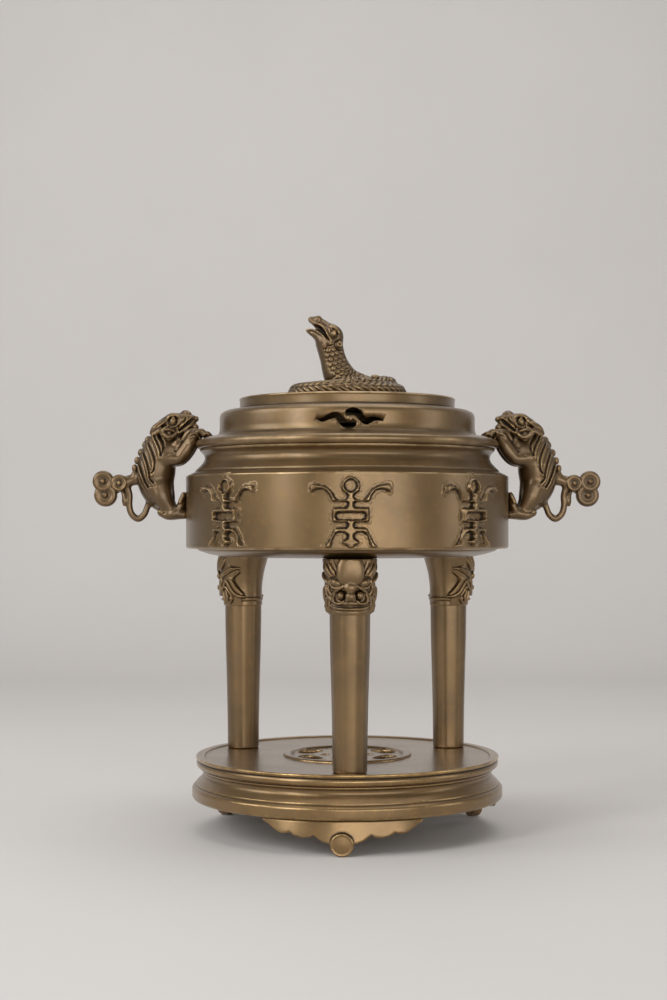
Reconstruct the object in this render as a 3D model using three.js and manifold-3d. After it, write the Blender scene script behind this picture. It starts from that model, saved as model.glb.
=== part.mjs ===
// Bronze incense burner on its own moulded stand, in millimetres, +Z up, front towards -Y.
// The origin is on the table, under the middle of the stand.
import * as THREE from 'three';
import { mergeVertices } from 'three/addons/utils/BufferGeometryUtils.js';
import Module from 'manifold-3d';

const wasm = await Module();
wasm.setup();

// Fits between the castings
const seatGap = 0.3;
const lidPlay = 0.7;
const spigotPlay = 1.0;

// Feet of the stand
const footCount = 3;
const footHeight = 22.5;
const footTurn = -3;
const apronInset = 4.4;
const apronWall = 4;
const apronHalfWidth = 53.4;
const apronEndDepth = 1.6;
const medallionRadius = 7.5;
const medallionProud = 2.2;
const medallionSides = 12;

// Stand
const standHeight = 28.5;
const standMargin = 22.4;
const standWall = 4;
const trayRimWidth = 5;
const trayDepth = 1;
const rosetteRadius = 43.5;
const rosetteRim = 3.5;
const rosetteRise = 1.6;
const rosetteSlots = 6;
const rosetteSlotRadius = 29;
const rosetteSlotHalfWidth = 3.2;

// Legs
const legCount = 3;
const legInset = 26;
const legFootRadius = 10.8;
const legNeckRadius = 13;
const capitalHeight = 35;
const capitalTopRadius = 17.5;
const legHeight = 136;
const legSides = 10;

// Bowl
const drumRadius = 110;
const drumHeight = 48.9;
const bowlWall = 4;
const footRingHeight = 5.5;
const footRingInset = 8;
const underFlatInset = 24;
const shoulderHeight = 8.6;
const neckInset = 12.5;
const neckHeight = 8.8;
const rimInset = 6.7;
const rimHeight = 9.2;
const rimWidth = 16.3;
const seatDepth = 2.5;
const seatThickness = 3.5;

// Raised emblems on the drum
const emblemWidth = 50;
const emblemHeight = 46.4;
const emblemRise = 4;
const emblemSink = 1.4;
const emblemStep = 46;
const emblemLift = 0.6;

// Lid
const lidWall = 3.6;
const flangeLap = 5.5;
const flangeHeight = 3.2;
const flangeWidth = 5.3;
const lidStepHeight = 17;
const lidStepRound = 3;
const crownInset = 13.2;
const crownHeight = 8.5;
const spigotDepth = 5.8;
const spigotWall = 2.6;
const cloudWidth = 43;
const cloudCopies = 3;
const cloudLift = 8.2;

// Lion handles
const mouthGape = 0.9;
const lionHeight = 75;
const lionHalfWidth = 12;
const lionLift = 19;
const tailThickness = 7;
const tailLoopRadius = 2.2;

// Snake knob
const coilRadius = 40;
const coilTube = 6.2;
const coilRise = 5;
const neckRise = 56.5;

// Fineness of the round work
const turns = 30;
const halfTurn = Math.PI;
const fullTurn = 2 * Math.PI;

// Heights that follow from the sizes above
const footRingRadius = drumRadius - footRingInset;
const underFlatRadius = drumRadius - underFlatInset;
const neckRadius = drumRadius - neckInset;
const rimRadius = drumRadius - rimInset;
const mouthRadius = rimRadius - rimWidth;
const flangeRadius = mouthRadius + flangeLap;
const lidRadius = flangeRadius - flangeWidth;
const crownRadius = lidRadius - crownInset;
const legCircle = drumRadius - legInset;
const standRadius = legCircle + standMargin;
const apronRadius = standRadius - apronInset;
const standBottom = footHeight;
const standTop = standBottom + standHeight;
const trayTop = standTop - trayDepth;
const bowlBottom = trayTop + legHeight;
const drumBottom = bowlBottom + footRingHeight;
const drumTop = drumBottom + drumHeight;
const neckMiddle = drumTop + shoulderHeight + neckHeight * 0.4;
const neckTop = drumTop + shoulderHeight + neckHeight;
const rimTop = neckTop + rimHeight;
const lidSeat = rimTop - seatDepth;
const lidBottom = lidSeat + seatGap;
const lidStepBottom = lidBottom + flangeHeight;
const lidStepTop = lidStepBottom + lidStepHeight;
const crownTop = lidStepTop + crownHeight;
const snakeBottom = crownTop + seatGap;

const agedBronze = { color: 0x6f5c3c, roughness: 0.42, metalness: 1 };
const rubbedBronze = { color: 0x8a7043, roughness: 0.36, metalness: 1 };
const standBronze = { color: 0x7a673f, roughness: 0.38, metalness: 1 };

// Solids from closed geometry, with the faces turned outwards
function solidOf(geometry) {
  const bare = geometry.clone();
  bare.deleteAttribute('normal');
  bare.deleteAttribute('uv');
  const merged = mergeVertices(bare, 1e-4);
  const corners = merged.getAttribute('position');
  const index = merged.index.array;
  const triangles = [];
  const a = new THREE.Vector3();
  const b = new THREE.Vector3();
  const c = new THREE.Vector3();
  let volume = 0;
  for (let i = 0; i < index.length; i += 3) {
    const [p, q, r] = [index[i], index[i + 1], index[i + 2]];
    if (p === q || q === r || r === p) continue;
    triangles.push(p, q, r);
    a.fromBufferAttribute(corners, p);
    b.fromBufferAttribute(corners, q);
    c.fromBufferAttribute(corners, r);
    volume += a.dot(b.cross(c));
  }
  if (volume < 0) triangles.reverse();
  const vertProperties = new Float32Array(corners.array);
  const triVerts = new Uint32Array(triangles);
  return new wasm.Manifold(new wasm.Mesh({ numProp: 3, vertProperties, triVerts }));
}

function joined(geometries) {
  return geometries.map(solidOf).reduce((whole, piece) => whole.add(piece));
}

function meshOf(name, solid, finish) {
  const { vertProperties, triVerts } = solid.getMesh();
  const geometry = new THREE.BufferGeometry();
  geometry.setAttribute('position', new THREE.BufferAttribute(vertProperties, 3));
  geometry.setIndex(new THREE.BufferAttribute(triVerts, 1));
  geometry.computeVertexNormals();
  const mesh = new THREE.Mesh(geometry, new THREE.MeshStandardMaterial(finish));
  mesh.name = name;
  return mesh;
}

// Turned work: a profile of [radius, height] pairs spun about the upright axis
function turned(profile, sides = turns) {
  const points = profile.map(([radius, height]) => new THREE.Vector2(radius, height));
  return new THREE.LatheGeometry(points, sides).rotateX(halfTurn / 2);
}

// A profile moved outwards by a gap, for cutting what stands against the turned work
function grown(profile, gap) {
  const normal = ([r0, z0], [r1, z1]) => {
    const length = Math.hypot(r1 - r0, z1 - z0);
    return [(z1 - z0) / length, (r0 - r1) / length];
  };
  return profile.map((point, i) => {
    const before = i > 0 ? normal(profile[i - 1], point) : normal(point, profile[i + 1]);
    const after = i < profile.length - 1 ? normal(point, profile[i + 1]) : before;
    const scale = gap / (1 + before[0] * after[0] + before[1] * after[1]);
    return [point[0] + (before[0] + after[0]) * scale, point[1] + (before[1] + after[1]) * scale];
  });
}

// A round stretch of a profile, from one angle to another in degrees
function arc(radius, height, size, from, to, steps) {
  return Array.from({ length: steps + 1 }, (_, i) => {
    const angle = THREE.MathUtils.degToRad(from + ((to - from) * i) / steps);
    return [radius + size * Math.cos(angle), height + size * Math.sin(angle)];
  });
}

// A closed outline, run anticlockwise
function shapeOf(points) {
  const line = points.map(([x, y]) => new THREE.Vector2(x, y));
  return new THREE.Shape(THREE.ShapeUtils.isClockWise(line) ? line.reverse() : line);
}

// A flat shape stood up and wrapped round the upright axis, its face at the given radius
function wrapped(shape, radius, thickness, bottom) {
  const geometry = new THREE.ExtrudeGeometry(shape, { depth: thickness, bevelEnabled: false });
  const place = geometry.getAttribute('position');
  for (let i = 0; i < place.count; i += 1) {
    const angle = place.getX(i) / radius;
    const reach = radius - thickness + place.getZ(i);
    place.setXYZ(i, reach * Math.sin(angle), -reach * Math.cos(angle), bottom + place.getY(i));
  }
  return geometry;
}

// A brush stroke of changing width: each point is [x, y, half width]
function stroke(points, steps) {
  const line = new THREE.CatmullRomCurve3(points.map((p) => new THREE.Vector3(...p)));
  const left = [];
  const right = [];
  for (let i = 0; i <= steps; i += 1) {
    const at = line.getPoint(i / steps);
    const along = line.getTangent(i / steps);
    const length = Math.hypot(along.x, along.y);
    const side = [(-along.y / length) * at.z, (along.x / length) * at.z];
    left.push([at.x + side[0], at.y + side[1]]);
    right.unshift([at.x - side[0], at.y - side[1]]);
  }
  return shapeOf([...left, ...right]);
}

// A modelled limb: each point is [x, y, z, half depth, half width]; depth lies in the XZ plane
function limb(points, sides, rings) {
  const spine = new THREE.CatmullRomCurve3(points.map(([x, y, z]) => new THREE.Vector3(x, y, z)));
  const girth = new THREE.CatmullRomCurve3(points.map((p) => new THREE.Vector3(p[3], p[4], 0)));
  const geometry = new THREE.SphereGeometry(1, sides, rings);
  const place = geometry.getAttribute('position');
  const across = new THREE.Vector3(0, 1, 0);
  const columns = sides + 1;
  for (let i = 0; i < place.count; i += 1) {
    const share = Math.floor(i / columns) / rings;
    const turn = ((i % columns) / sides) * fullTurn;
    const centre = spine.getPoint(share);
    const along = spine.getTangent(share);
    const size = girth.getPoint(share);
    const depth = new THREE.Vector3().crossVectors(across, along).normalize();
    const width = new THREE.Vector3().crossVectors(along, depth).normalize();
    const isTip = share === 0 || share === 1;
    const reach = isTip ? 0 : 1;
    const wide = Math.sin(turn) * Math.max(size.y, 0) * reach;
    const deep = Math.cos(turn) * Math.max(size.x, 0) * reach;
    const point = centre.addScaledVector(width, wide).addScaledVector(depth, deep);
    place.setXYZ(i, point.x, point.y, point.z);
  }
  return geometry;
}

// A small rounded form: half sizes along X, Y and Z, then a tilt in the XZ plane
function knob(place, half, tilt = 0, sides = 8, rings = 5) {
  const geometry = new THREE.SphereGeometry(1, sides, rings);
  geometry.scale(...half).rotateY(-THREE.MathUtils.degToRad(tilt));
  return geometry.translate(...place);
}

function onBothSides(build) {
  return [1, -1].flatMap((side) => build(side));
}

// Foot of the stand: a scalloped apron with a round medallion that stands on the table
function footSolid() {
  const top = footHeight - seatGap;
  const medallionMiddle = medallionRadius * Math.cos(halfTurn / medallionSides);
  const half = [
    [apronHalfWidth, top],
    [apronHalfWidth, top - apronEndDepth],
    [0.89 * apronHalfWidth, 0.82 * top],
    [0.8 * apronHalfWidth, 0.66 * top],
    [0.7 * apronHalfWidth, 0.61 * top],
    [0.63 * apronHalfWidth, 0.65 * top],
    [0.5 * apronHalfWidth, 0.53 * top],
    [0.4 * apronHalfWidth, 0.52 * top],
    [0.34 * apronHalfWidth, 0.58 * top],
    [0.14 * apronHalfWidth, 0.35 * top],
  ];
  const mirrored = half.map(([x, y]) => [-x, y]).reverse();
  const seen = [...half, ...mirrored].map(([x, y]) => [apronRadius * Math.sin(x / apronRadius), y]);
  const front = new THREE.ExtrudeGeometry(shapeOf(seen), { depth: standRadius, bevelEnabled: false });
  front.rotateX(halfTurn / 2);
  const inside = apronRadius - apronWall;
  const wall = turned([
    [inside, -apronWall], [apronRadius, -apronWall], [apronRadius, footHeight], [inside, footHeight],
    [inside, -apronWall]]);
  const depth = apronWall + medallionProud;
  const disc = new THREE.CylinderGeometry(
    medallionRadius, medallionRadius, depth, medallionSides, 1, false, halfTurn / medallionSides);
  disc.translate(0, apronRadius + medallionProud - depth / 2, 0);
  disc.rotateX(halfTurn);
  disc.translate(0, 0, medallionMiddle);
  return solidOf(front).intersect(solidOf(wall)).add(solidOf(disc));
}

// Stand: a hollow moulded drum closed above by a tray with a pierced rosette
function standSolid() {
  const bottom = standBottom;
  const edge = standRadius;
  const inner = edge - 7.9 - standWall;
  const profile = [
    [inner, bottom],
    [edge, bottom],
    [edge, bottom + 7.5],
    [edge - 2.8, bottom + 9.5],
    ...arc(edge + 3.4, bottom + 16.6, 11.2, 210, 162, 2),
    [edge - 6.2, bottom + 20],
    ...arc(edge - 6, bottom + 23, 3.2, -50, 60, 2),
    [edge - 2.6, standTop],
    [edge - 3 - trayRimWidth, standTop],
    [edge - 3 - trayRimWidth, trayTop],
    [rosetteRadius, trayTop],
    [rosetteRadius, trayTop + rosetteRise],
    [rosetteRadius - rosetteRim, trayTop + rosetteRise],
    [rosetteRadius - rosetteRim, trayTop],
    [0, trayTop],
    [0, trayTop - standWall],
    [inner, trayTop - standWall],
    [inner, bottom],
  ];
  const slots = Array.from({ length: rosetteSlots }, (_, i) => {
    const reach = fullTurn / rosetteSlots;
    const bean = [-0.34, 0, 0.34].map((share) => {
      const angle = reach * (i + share + 0.5);
      const radius = rosetteSlotRadius + 3 * Math.cos(4 * halfTurn * share);
      const half = rosetteSlotHalfWidth * (share === 0 ? 1 : 0.6);
      return [radius * Math.cos(angle), radius * Math.sin(angle), half];
    });
    const depth = 3 * standWall;
    const cutter = new THREE.ExtrudeGeometry(stroke(bean, 3), { depth, bevelEnabled: false });
    return cutter.translate(0, 0, trayTop - 2 * standWall);
  });
  return solidOf(turned(profile)).subtract(joined(slots));
}

// Outer profile of the bowl, from under its middle up to the top of the rim
function bowlOutside() {
  return [
    [0, bowlBottom],
    [underFlatRadius, bowlBottom],
    [0.75 * footRingRadius + 0.25 * underFlatRadius, bowlBottom + 0.36 * footRingHeight],
    [footRingRadius, drumBottom - 0.3],
    [drumRadius - 0.8, drumBottom],
    [drumRadius, drumBottom + 0.8],
    [drumRadius, drumTop - 0.3],
    [drumRadius - 6.6, drumTop + 3.2],
    [neckRadius + 0.9, drumTop + shoulderHeight],
    [neckRadius, neckMiddle],
    [neckRadius + 3.1, neckTop],
    [rimRadius, neckTop + 3.4],
    [rimRadius - 1.4, neckTop + 6.8],
    [flangeRadius + lidPlay, rimTop],
  ];
}

// Hollow bowl with its emblems
function bowlSolid() {
  const inside = [
    [flangeRadius + lidPlay, lidSeat],
    [mouthRadius, lidSeat],
    [mouthRadius, lidSeat - seatThickness],
    [neckRadius - bowlWall, neckMiddle - bowlWall / 2],
    [drumRadius - bowlWall, drumTop - 2 * bowlWall],
    [drumRadius - bowlWall, drumBottom + bowlWall],
    [drumRadius - 2 * bowlWall - 4, bowlBottom + bowlWall],
    [0, bowlBottom + bowlWall],
  ];
  const shell = solidOf(turned([...bowlOutside(), ...inside]));
  const angles = [0, 180].flatMap((middle) => [-1, 0, 1].map((i) => middle + i * emblemStep));
  const emblem = emblemShape();
  const thickness = emblemRise + emblemSink;
  return angles.reduce((whole, angle) => {
    const raised = wrapped(emblem, drumRadius + emblemRise, thickness, drumBottom + emblemLift);
    raised.rotateZ(THREE.MathUtils.degToRad(angle));
    return whole.add(solidOf(raised));
  }, shell);
}

// The emblem: a ringed head, two swept wings, a slotted box and a flared skirt, alike left and right
function emblemShape() {
  const w = emblemWidth / 50;
  const h = emblemHeight / 46.4;
  const half = [
    [0, 46.4],
    [5.6, 42.6],
    [2.2, 33],
    [7.8, 31.1],
    [14.6, 39],
    [24.6, 40],
    [25, 34.7],
    [16, 36.4],
    [12.2, 29.2],
    [2.5, 29.2],
    [2.5, 26.6],
    [11.3, 26.6],
    [11.3, 16.9],
    [2.5, 16.9],
    [2.5, 13.6],
    [10.4, 13.6],
    [20.4, 1.2],
    [12.2, 1.6],
    [8.6, 10.3],
    [2.3, 9],
    [5.8, 5.4],
    [2.2, 0.2],
  ].map(([x, y]) => [x * w, y * h]);
  const mirrored = half.slice(1).map(([x, y]) => [-x, y]).reverse();
  const outline = shapeOf([...half, ...mirrored]);
  const eye = new THREE.Path().absarc(0, 39.4 * h, 4.1 * w, 0, fullTurn, true);
  const slot = [[9, 21.4], [7.4, 19.2], [-7.4, 19.2], [-9, 21.4], [-7.4, 23.7], [7.4, 23.7]];
  outline.holes.push(new THREE.Path(eye.getSpacedPoints(6).slice(0, -1)));
  outline.holes.push(new THREE.Path(slot.map(([x, y]) => new THREE.Vector2(x * w, y * h))));
  return outline;
}

// Leg: a round taper under a flared capital with a lion mask that looks outwards
function legSolid() {
  const bottom = trayTop + seatGap;
  const bandBottom = bowlBottom - capitalHeight;
  const skin = (up) => {
    const share = 0.38 + 0.62 * (up / capitalHeight);
    return legNeckRadius + (capitalTopRadius - legNeckRadius) * share;
  };
  const shaft = turned([
    [0, bottom],
    [legFootRadius, bottom],
    [legNeckRadius, bandBottom],
    [legNeckRadius + 0.7, bandBottom + 1],
    [legNeckRadius + 0.5, bandBottom + 13],
    [legNeckRadius + 1.6, bandBottom + 23],
    [capitalTopRadius, bowlBottom + 0.1 * footRingHeight],
    [capitalTopRadius, drumBottom],
    [0, drumBottom],
  ], legSides);
  const front = (side, up, out) => [side, out - Math.sqrt(skin(up) ** 2 - side ** 2), bandBottom + up];
  const mask = [
    knob([0, -4.5, bandBottom + 18], [15.6, 11.4, 19], 0, 8, 5),
    knob(front(0, 12.6, 0.4), [3.8, 3.8, 3.6], 0, 5, 3),
    knob(front(0, 26, 1.6), [7, 3.4, 8.6], 0, 5, 4),
    knob(front(0, 7.4, 0.8), [10, 3.2, 2], 0, 5, 3),
    ...onBothSides((side) => [
      knob(front(side * 5.8, 12.4, 0.4), [2.4, 2.6, 2.6], 0, 4, 3),
      knob(front(side * 8.6, 19.4, 0.8), [4.6, 3, 2.9], side * -20, 4, 3),
      knob(front(side * 13, 24.6, 1), [4, 4, 7.4], side * 14, 4, 3),
    ]),
  ];
  const leg = joined([shaft, ...mask].map((form) => form.translate(0, -legCircle, 0)));
  return leg.subtract(solidOf(turned(closedRound(grown(bowlOutside(), seatGap)))));
}

// A cutter of the turned work: its outer profile closed over the axis
function closedRound(profile) {
  const [, topHeight] = profile[profile.length - 1];
  const below = profile.map(([radius, height]) => [Math.max(radius, 0), height]);
  return [...below, [0, topHeight]];
}

// Lid: two steps, a flange that rests in the rim, a spigot below and cloud piercings
function lidSolid() {
  const edge = lidRadius;
  const inner = mouthRadius - spigotPlay - spigotWall;
  const crownInside = crownRadius - lidWall;
  const profile = [
    [0, crownTop],
    [crownRadius - 0.8, crownTop],
    [crownRadius, crownTop - 0.9],
    [crownRadius - 0.6, lidStepTop + 1.2],
    [crownRadius + 0.8, lidStepTop],
    ...arc(edge - lidStepRound, lidStepTop - lidStepRound, lidStepRound, 90, 0, 2),
    [edge, lidStepBottom + 2],
    [flangeRadius - 1, lidStepBottom],
    [flangeRadius, lidBottom],
    [mouthRadius - spigotPlay, lidBottom],
    [mouthRadius - spigotPlay, lidBottom - spigotDepth],
    [inner, lidBottom - spigotDepth],
    [inner, lidStepTop - lidWall],
    [crownInside, lidStepTop - lidWall],
    [crownInside, crownTop - lidWall],
    [0, crownTop - lidWall],
  ];
  const strands = cloudStrands();
  const clouds = Array.from({ length: cloudCopies }, (_, i) => strands.map((strand) => {
    const depth = 2.5 * lidWall;
    const cutter = wrapped(strand, lidRadius + lidWall, depth, lidStepBottom + cloudLift);
    return cutter.rotateZ((fullTurn * i) / cloudCopies);
  })).flat();
  return solidOf(turned(profile)).subtract(joined(clouds));
}

// Two curling strands of cloud, one after the other, as pierced through the lid
function cloudStrands() {
  const size = cloudWidth / 43;
  const left = [
    [-21.5, 0, 0.3], [-18, -0.7, 1.2], [-14, 0.8, 1.6], [-10, 2.2, 2], [-7, 1, 2.2],
    [-4.4, -2.2, 2.4], [-1.4, -4, 2.6], [1.8, -3.2, 2.3], [3, -1.4, 1.2],
  ];
  const right = [
    [-2.4, 2.4, 1.2], [-1, 3.8, 2.3], [2, 4.6, 2.6], [5.4, 3.2, 2.4], [7.4, 0.6, 2.1],
    [10.4, -1.4, 2.2], [14, -0.3, 1.7], [17.6, 0, 1.2], [21.5, -1, 0.4],
  ];
  return [left, right].map((line) => {
    const sized = line.map(([x, y, half]) => [x * size, y * size, half * size]);
    return stroke(sized, 5);
  });
}

// Lion that climbs the bowl as a handle: on the left side, head to the rim, tail outwards.
// It is drawn 75 high and 12 to each side, then set to its named size.
function lionSolid() {
  const foot = drumBottom + lionLift;
  const tall = lionHeight / 75;
  const wide = 12;
  const at = (out, y, up) => [-out, y, up];
  const paw = (rimTop - foot) / tall;
  const body = limb([
    [...at(1, 0, 56), 3, 3],
    [...at(13, 0, 53), 12, 0.86 * wide],
    [...at(19.5, 0, 44), 13.4, wide],
    [...at(22.5, 0, 33), 14, 0.98 * wide],
    [...at(21, 0, 22), 13, 0.94 * wide],
    [...at(15.5, 0, 11.5), 9.6, 0.9 * wide],
    [...at(10.5, 0, 4.5), 3, 5],
  ], 8, 7);
  const head = limb([
    [...at(25, 0, 58), 2, 4],
    [...at(18.5, 0, 61.5), 7.6, 0.92 * wide],
    [...at(9.5, 0, 65.2), 8.6, 1.04 * wide],
    [...at(1, 0, 68.4), 7, 0.86 * wide],
    [...at(-5.5, 0, 70.6), 5.6, 0.66 * wide],
    [...at(-8.4, 0, 71.4), 1.4, 2],
  ], 7, 6);
  const face = [
    knob(at(-2, 0, 73.6), [3.6, 4.6, 2.6], 20, 5, 3),
    ...onBothSides((side) => [
      knob(at(8.6, side * 6.6, 70.6), [5, 3.8, 3.6], 20, 4, 3),
      knob(at(10, side * 11, 58.4), [6.4, 3, 3.6], -20, 4, 3),
      knob(at(18.5, side * 10.8, 62), [7, 2.6, 3.6], 38, 4, 3),
    ]),
  ];
  const arms = onBothSides((side) => limb([
    [...at(16, side * 6, 42), 3, 3],
    [...at(8, side * 9.4, 42.6), 7, 6],
    [...at(-1, side * 10, 45), 5.4, 5.2],
    [...at(-5.6, side * 8.8, 53), 4.6, 4.6],
    [...at(-9.6, side * 8, paw + 2.4), 4, 4.6],
    [...at(-15, side * 7.6, paw + 1.6), 2.4, 3.4],
  ], 5, 5));
  const legs = onBothSides((side) => limb([
    [...at(22, side * 7, 25), 4, 3],
    [...at(18, side * 9.4, 16), 9, 5],
    [...at(15, side * 9.6, 5.4), 6.4, 5],
    [...at(7, side * 9, 4.6), 5, 5],
    [...at(2.4, side * 8.6, 10), 4, 4.6],
    [...at(0.6, side * 8.6, 17.5), 1.6, 2.4],
  ], 5, 5));
  const ridge = Array.from({ length: 5 }, (_, i) => {
    const share = i / 4;
    const out = 26.5 + 9 * Math.sin(share * 1.7);
    return knob(at(out, 0, 52.5 - 18 * share), [2.6, 2.2, 3.4], 24 - 20 * share, 4, 2);
  });
  const locks = onBothSides((side) => limb([
    [...at(16, side * 8, 55), 1, 1],
    [...at(20, side * 11.6, 46), 4.6, 2.2],
    [...at(22, side * 12, 37), 4.2, 2.2],
    [...at(20, side * 10.8, 28), 1, 1],
  ], 4, 3));
  const sized = (form) => form.scale(tall, lionHalfWidth / wide, tall).translate(-drumRadius, 0, foot);
  const forms = [body, head, ...face, ...arms, ...legs, ...ridge, ...locks, ...tailParts(at)];
  const lion = joined(forms.map(sized));
  const cut = lion.subtract(solidOf(turned(closedRound(grown(bowlOutside(), seatGap)))));
  const mouth = new THREE.BoxGeometry(16, 3 * wide, mouthGape / tall);
  mouth.rotateY(-THREE.MathUtils.degToRad(32)).translate(...at(-6, 0, 67.4));
  return cut.subtract(solidOf(sized(mouth)));
}

// Tail: a stem, three curled discs and a hanging loop
function tailParts(at) {
  const half = tailThickness / 2;
  const disc = (out, up, radius) => {
    const lens = turned([
      [0, -half - 0.8], [radius, 0.8 - half], [radius, half - 0.8], [0, half + 0.8],
    ], 9);
    return lens.rotateX(halfTurn / 2).translate(...at(out, 0, up));
  };
  const stem = limb([
    [...at(30, 0, 26), 2, 2],
    [...at(36, 0, 26.4), 4.6, 4],
    [...at(42, 0, 26), 3.8, 3.4],
    [...at(50, 0, 24), 4.6, 3],
    [...at(56, 0, 22), 2, 2],
  ], 5, 4);
  const loopPath = new THREE.CatmullRomCurve3([
    [41, 24], [39.4, 18], [39.4, 11], [37, 3.4], [32.8, 0.6], [28.4, 2.8], [25.6, 9], [23, 14],
  ].map(([out, up]) => new THREE.Vector3(...at(out, 0, up))));
  const section = new THREE.Shape();
  section.absarc(0, 0, tailLoopRadius, 0, fullTurn);
  const ring = new THREE.Shape(section.getSpacedPoints(5).slice(0, -1));
  const loop = new THREE.ExtrudeGeometry(ring, { steps: 9, extrudePath: loopPath });
  const leaf = knob(at(42, 0, 13.4), [2.3, 2.6, 3.6], 10, 4, 3);
  return [stem, loop, leaf, disc(56.2, 26.6, 7.2), disc(54.9, 17, 7.9), disc(44.8, 25.2, 5.8)];
}

// Snake knob: two turns of body and a raised neck with the mouth open.
// The neck is drawn 56.5 high and then set to its named size.
function snakeSolid() {
  const base = snakeBottom;
  const reach = coilRadius - coilTube;
  const coilAt = (turn) => {
    const angle = fullTurn * (turn - 0.42);
    const radius = reach * (turn < 1 ? 1 : 1 - 0.44 * (turn - 1));
    const height = coilTube * 0.72 + coilRise * THREE.MathUtils.smoothstep(turn, 1.02, 1.4);
    return [radius * Math.cos(angle), radius * Math.sin(angle), base + height];
  };
  const coil = tubeAlong(Array.from({ length: 19 }, (_, i) => {
    const turn = (i / 18) * 1.7;
    const swell = Math.min(1, 0.3 + 2.2 * turn);
    return [...coilAt(turn), coilTube * swell];
  }), 6, 20);
  const tall = neckRise / 56.5;
  const up = (x, z, deep, broad) => [x, 0, z, deep, broad];
  const neck = limb([
    up(22, 6, 5, 4),
    up(11, 8.5, 7, 8),
    up(1, 13.5, 9, 9),
    up(-6, 20, 9.4, 9),
    up(-9.6, 28, 8.8, 8.6),
    up(-12, 36, 9.8, 9.4),
    up(-16.4, 44, 8.6, 9.2),
    up(-21.4, 49.6, 6.2, 7.4),
    up(-25.6, 52.4, 3.6, 5.2),
    up(-28, 52.6, 1, 2),
  ], 8, 11);
  const features = [
    knob([-20.2, 0, 54.2], [3.4, 4.4, 2.3], 30, 5, 3),
    ...onBothSides((side) => [
      knob([-10.4, side * 7.6, 44.2], [3.2, 2.8, 2.4], 60, 5, 3),
      knob([-7.2, side * 8.4, 37], [3, 2, 3.4], 0, 5, 3),
    ]),
  ];
  const coreRadius = reach - 0.32 * coilTube;
  const core = knob([0, 0, base + 0.64 * coilTube], [coreRadius, coreRadius, 0.71 * coilTube], 0, 8, 4);
  const bumps = Array.from({ length: 5 }, (_, i) => {
    const [x, y, z] = coilAt(1.28 + 0.05 * i);
    const half = 0.42 * coilTube;
    return knob([x, y, z + 0.7 * coilTube], [half, half, 0.6 * half], 0, 4, 3);
  });
  const sized = (form) => form.scale(tall, tall, tall).translate(0, 0, base);
  const body = joined([coil, core, ...bumps, ...[neck, ...features].map(sized)]);
  const mouth = new THREE.ConeGeometry(3.6, 22, 4).rotateZ(halfTurn / 2);
  mouth.scale(1, 1, 3.4).rotateY(-THREE.MathUtils.degToRad(38));
  mouth.translate(-26, 0, 49.2);
  const under = new THREE.BoxGeometry(4 * coilRadius, 4 * coilRadius, coilRadius);
  under.translate(0, 0, base - coilRadius / 2);
  return body.subtract(solidOf(sized(mouth))).subtract(solidOf(under));
}

// A round body along a run of [x, y, z, radius] points, closed at both ends
function tubeAlong(points, sides, rings) {
  const spine = new THREE.CatmullRomCurve3(points.map(([x, y, z]) => new THREE.Vector3(x, y, z)));
  const girth = new THREE.CatmullRomCurve3(points.map((p) => new THREE.Vector3(p[3], 0, 0)));
  const geometry = new THREE.SphereGeometry(1, sides, rings);
  const place = geometry.getAttribute('position');
  const upright = new THREE.Vector3(0, 0, 1);
  const columns = sides + 1;
  for (let i = 0; i < place.count; i += 1) {
    const share = Math.floor(i / columns) / rings;
    const turn = ((i % columns) / sides) * fullTurn;
    const centre = spine.getPoint(share);
    const along = spine.getTangent(share);
    const outward = new THREE.Vector3().crossVectors(along, upright).normalize();
    const isTip = share === 0 || share === 1;
    const size = isTip ? 0 : girth.getPoint(share).x;
    centre.addScaledVector(outward, Math.cos(turn) * size);
    centre.addScaledVector(upright, Math.sin(turn) * size * 0.8);
    place.setXYZ(i, centre.x, centre.y, centre.z);
  }
  return geometry;
}

const burner = new THREE.Group();

burner.add(meshOf('stand', standSolid(), standBronze));

const places = ['front', 'right', 'left'];
const foot = footSolid();
const leg = legSolid();
for (let i = 0; i < footCount; i += 1) {
  const piece = meshOf(`foot_${places[i]}`, foot, standBronze);
  piece.rotation.z = (fullTurn * i) / footCount + THREE.MathUtils.degToRad(footTurn);
  burner.add(piece);
}
for (let i = 0; i < legCount; i += 1) {
  const piece = meshOf(`leg_${places[i]}`, leg, agedBronze);
  piece.rotation.z = (fullTurn * i) / legCount;
  burner.add(piece);
}

burner.add(meshOf('bowl', bowlSolid(), agedBronze));

const lion = lionSolid();
burner.add(meshOf('handle_left', lion, agedBronze));
const rightHandle = meshOf('handle_right', lion, rubbedBronze);
rightHandle.rotation.z = halfTurn;
burner.add(rightHandle);

burner.add(meshOf('lid', lidSolid(), agedBronze));
burner.add(meshOf('snake', snakeSolid(), rubbedBronze));

export default burner;
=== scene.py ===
"""Cast bronze incense burner: a drum bowl on three tall legs, a stepped lid with a snake, a round stand.

Sizes are in millimetres until a mesh is made. X runs through the two lions, -Y is the front.
"""
import math

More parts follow.
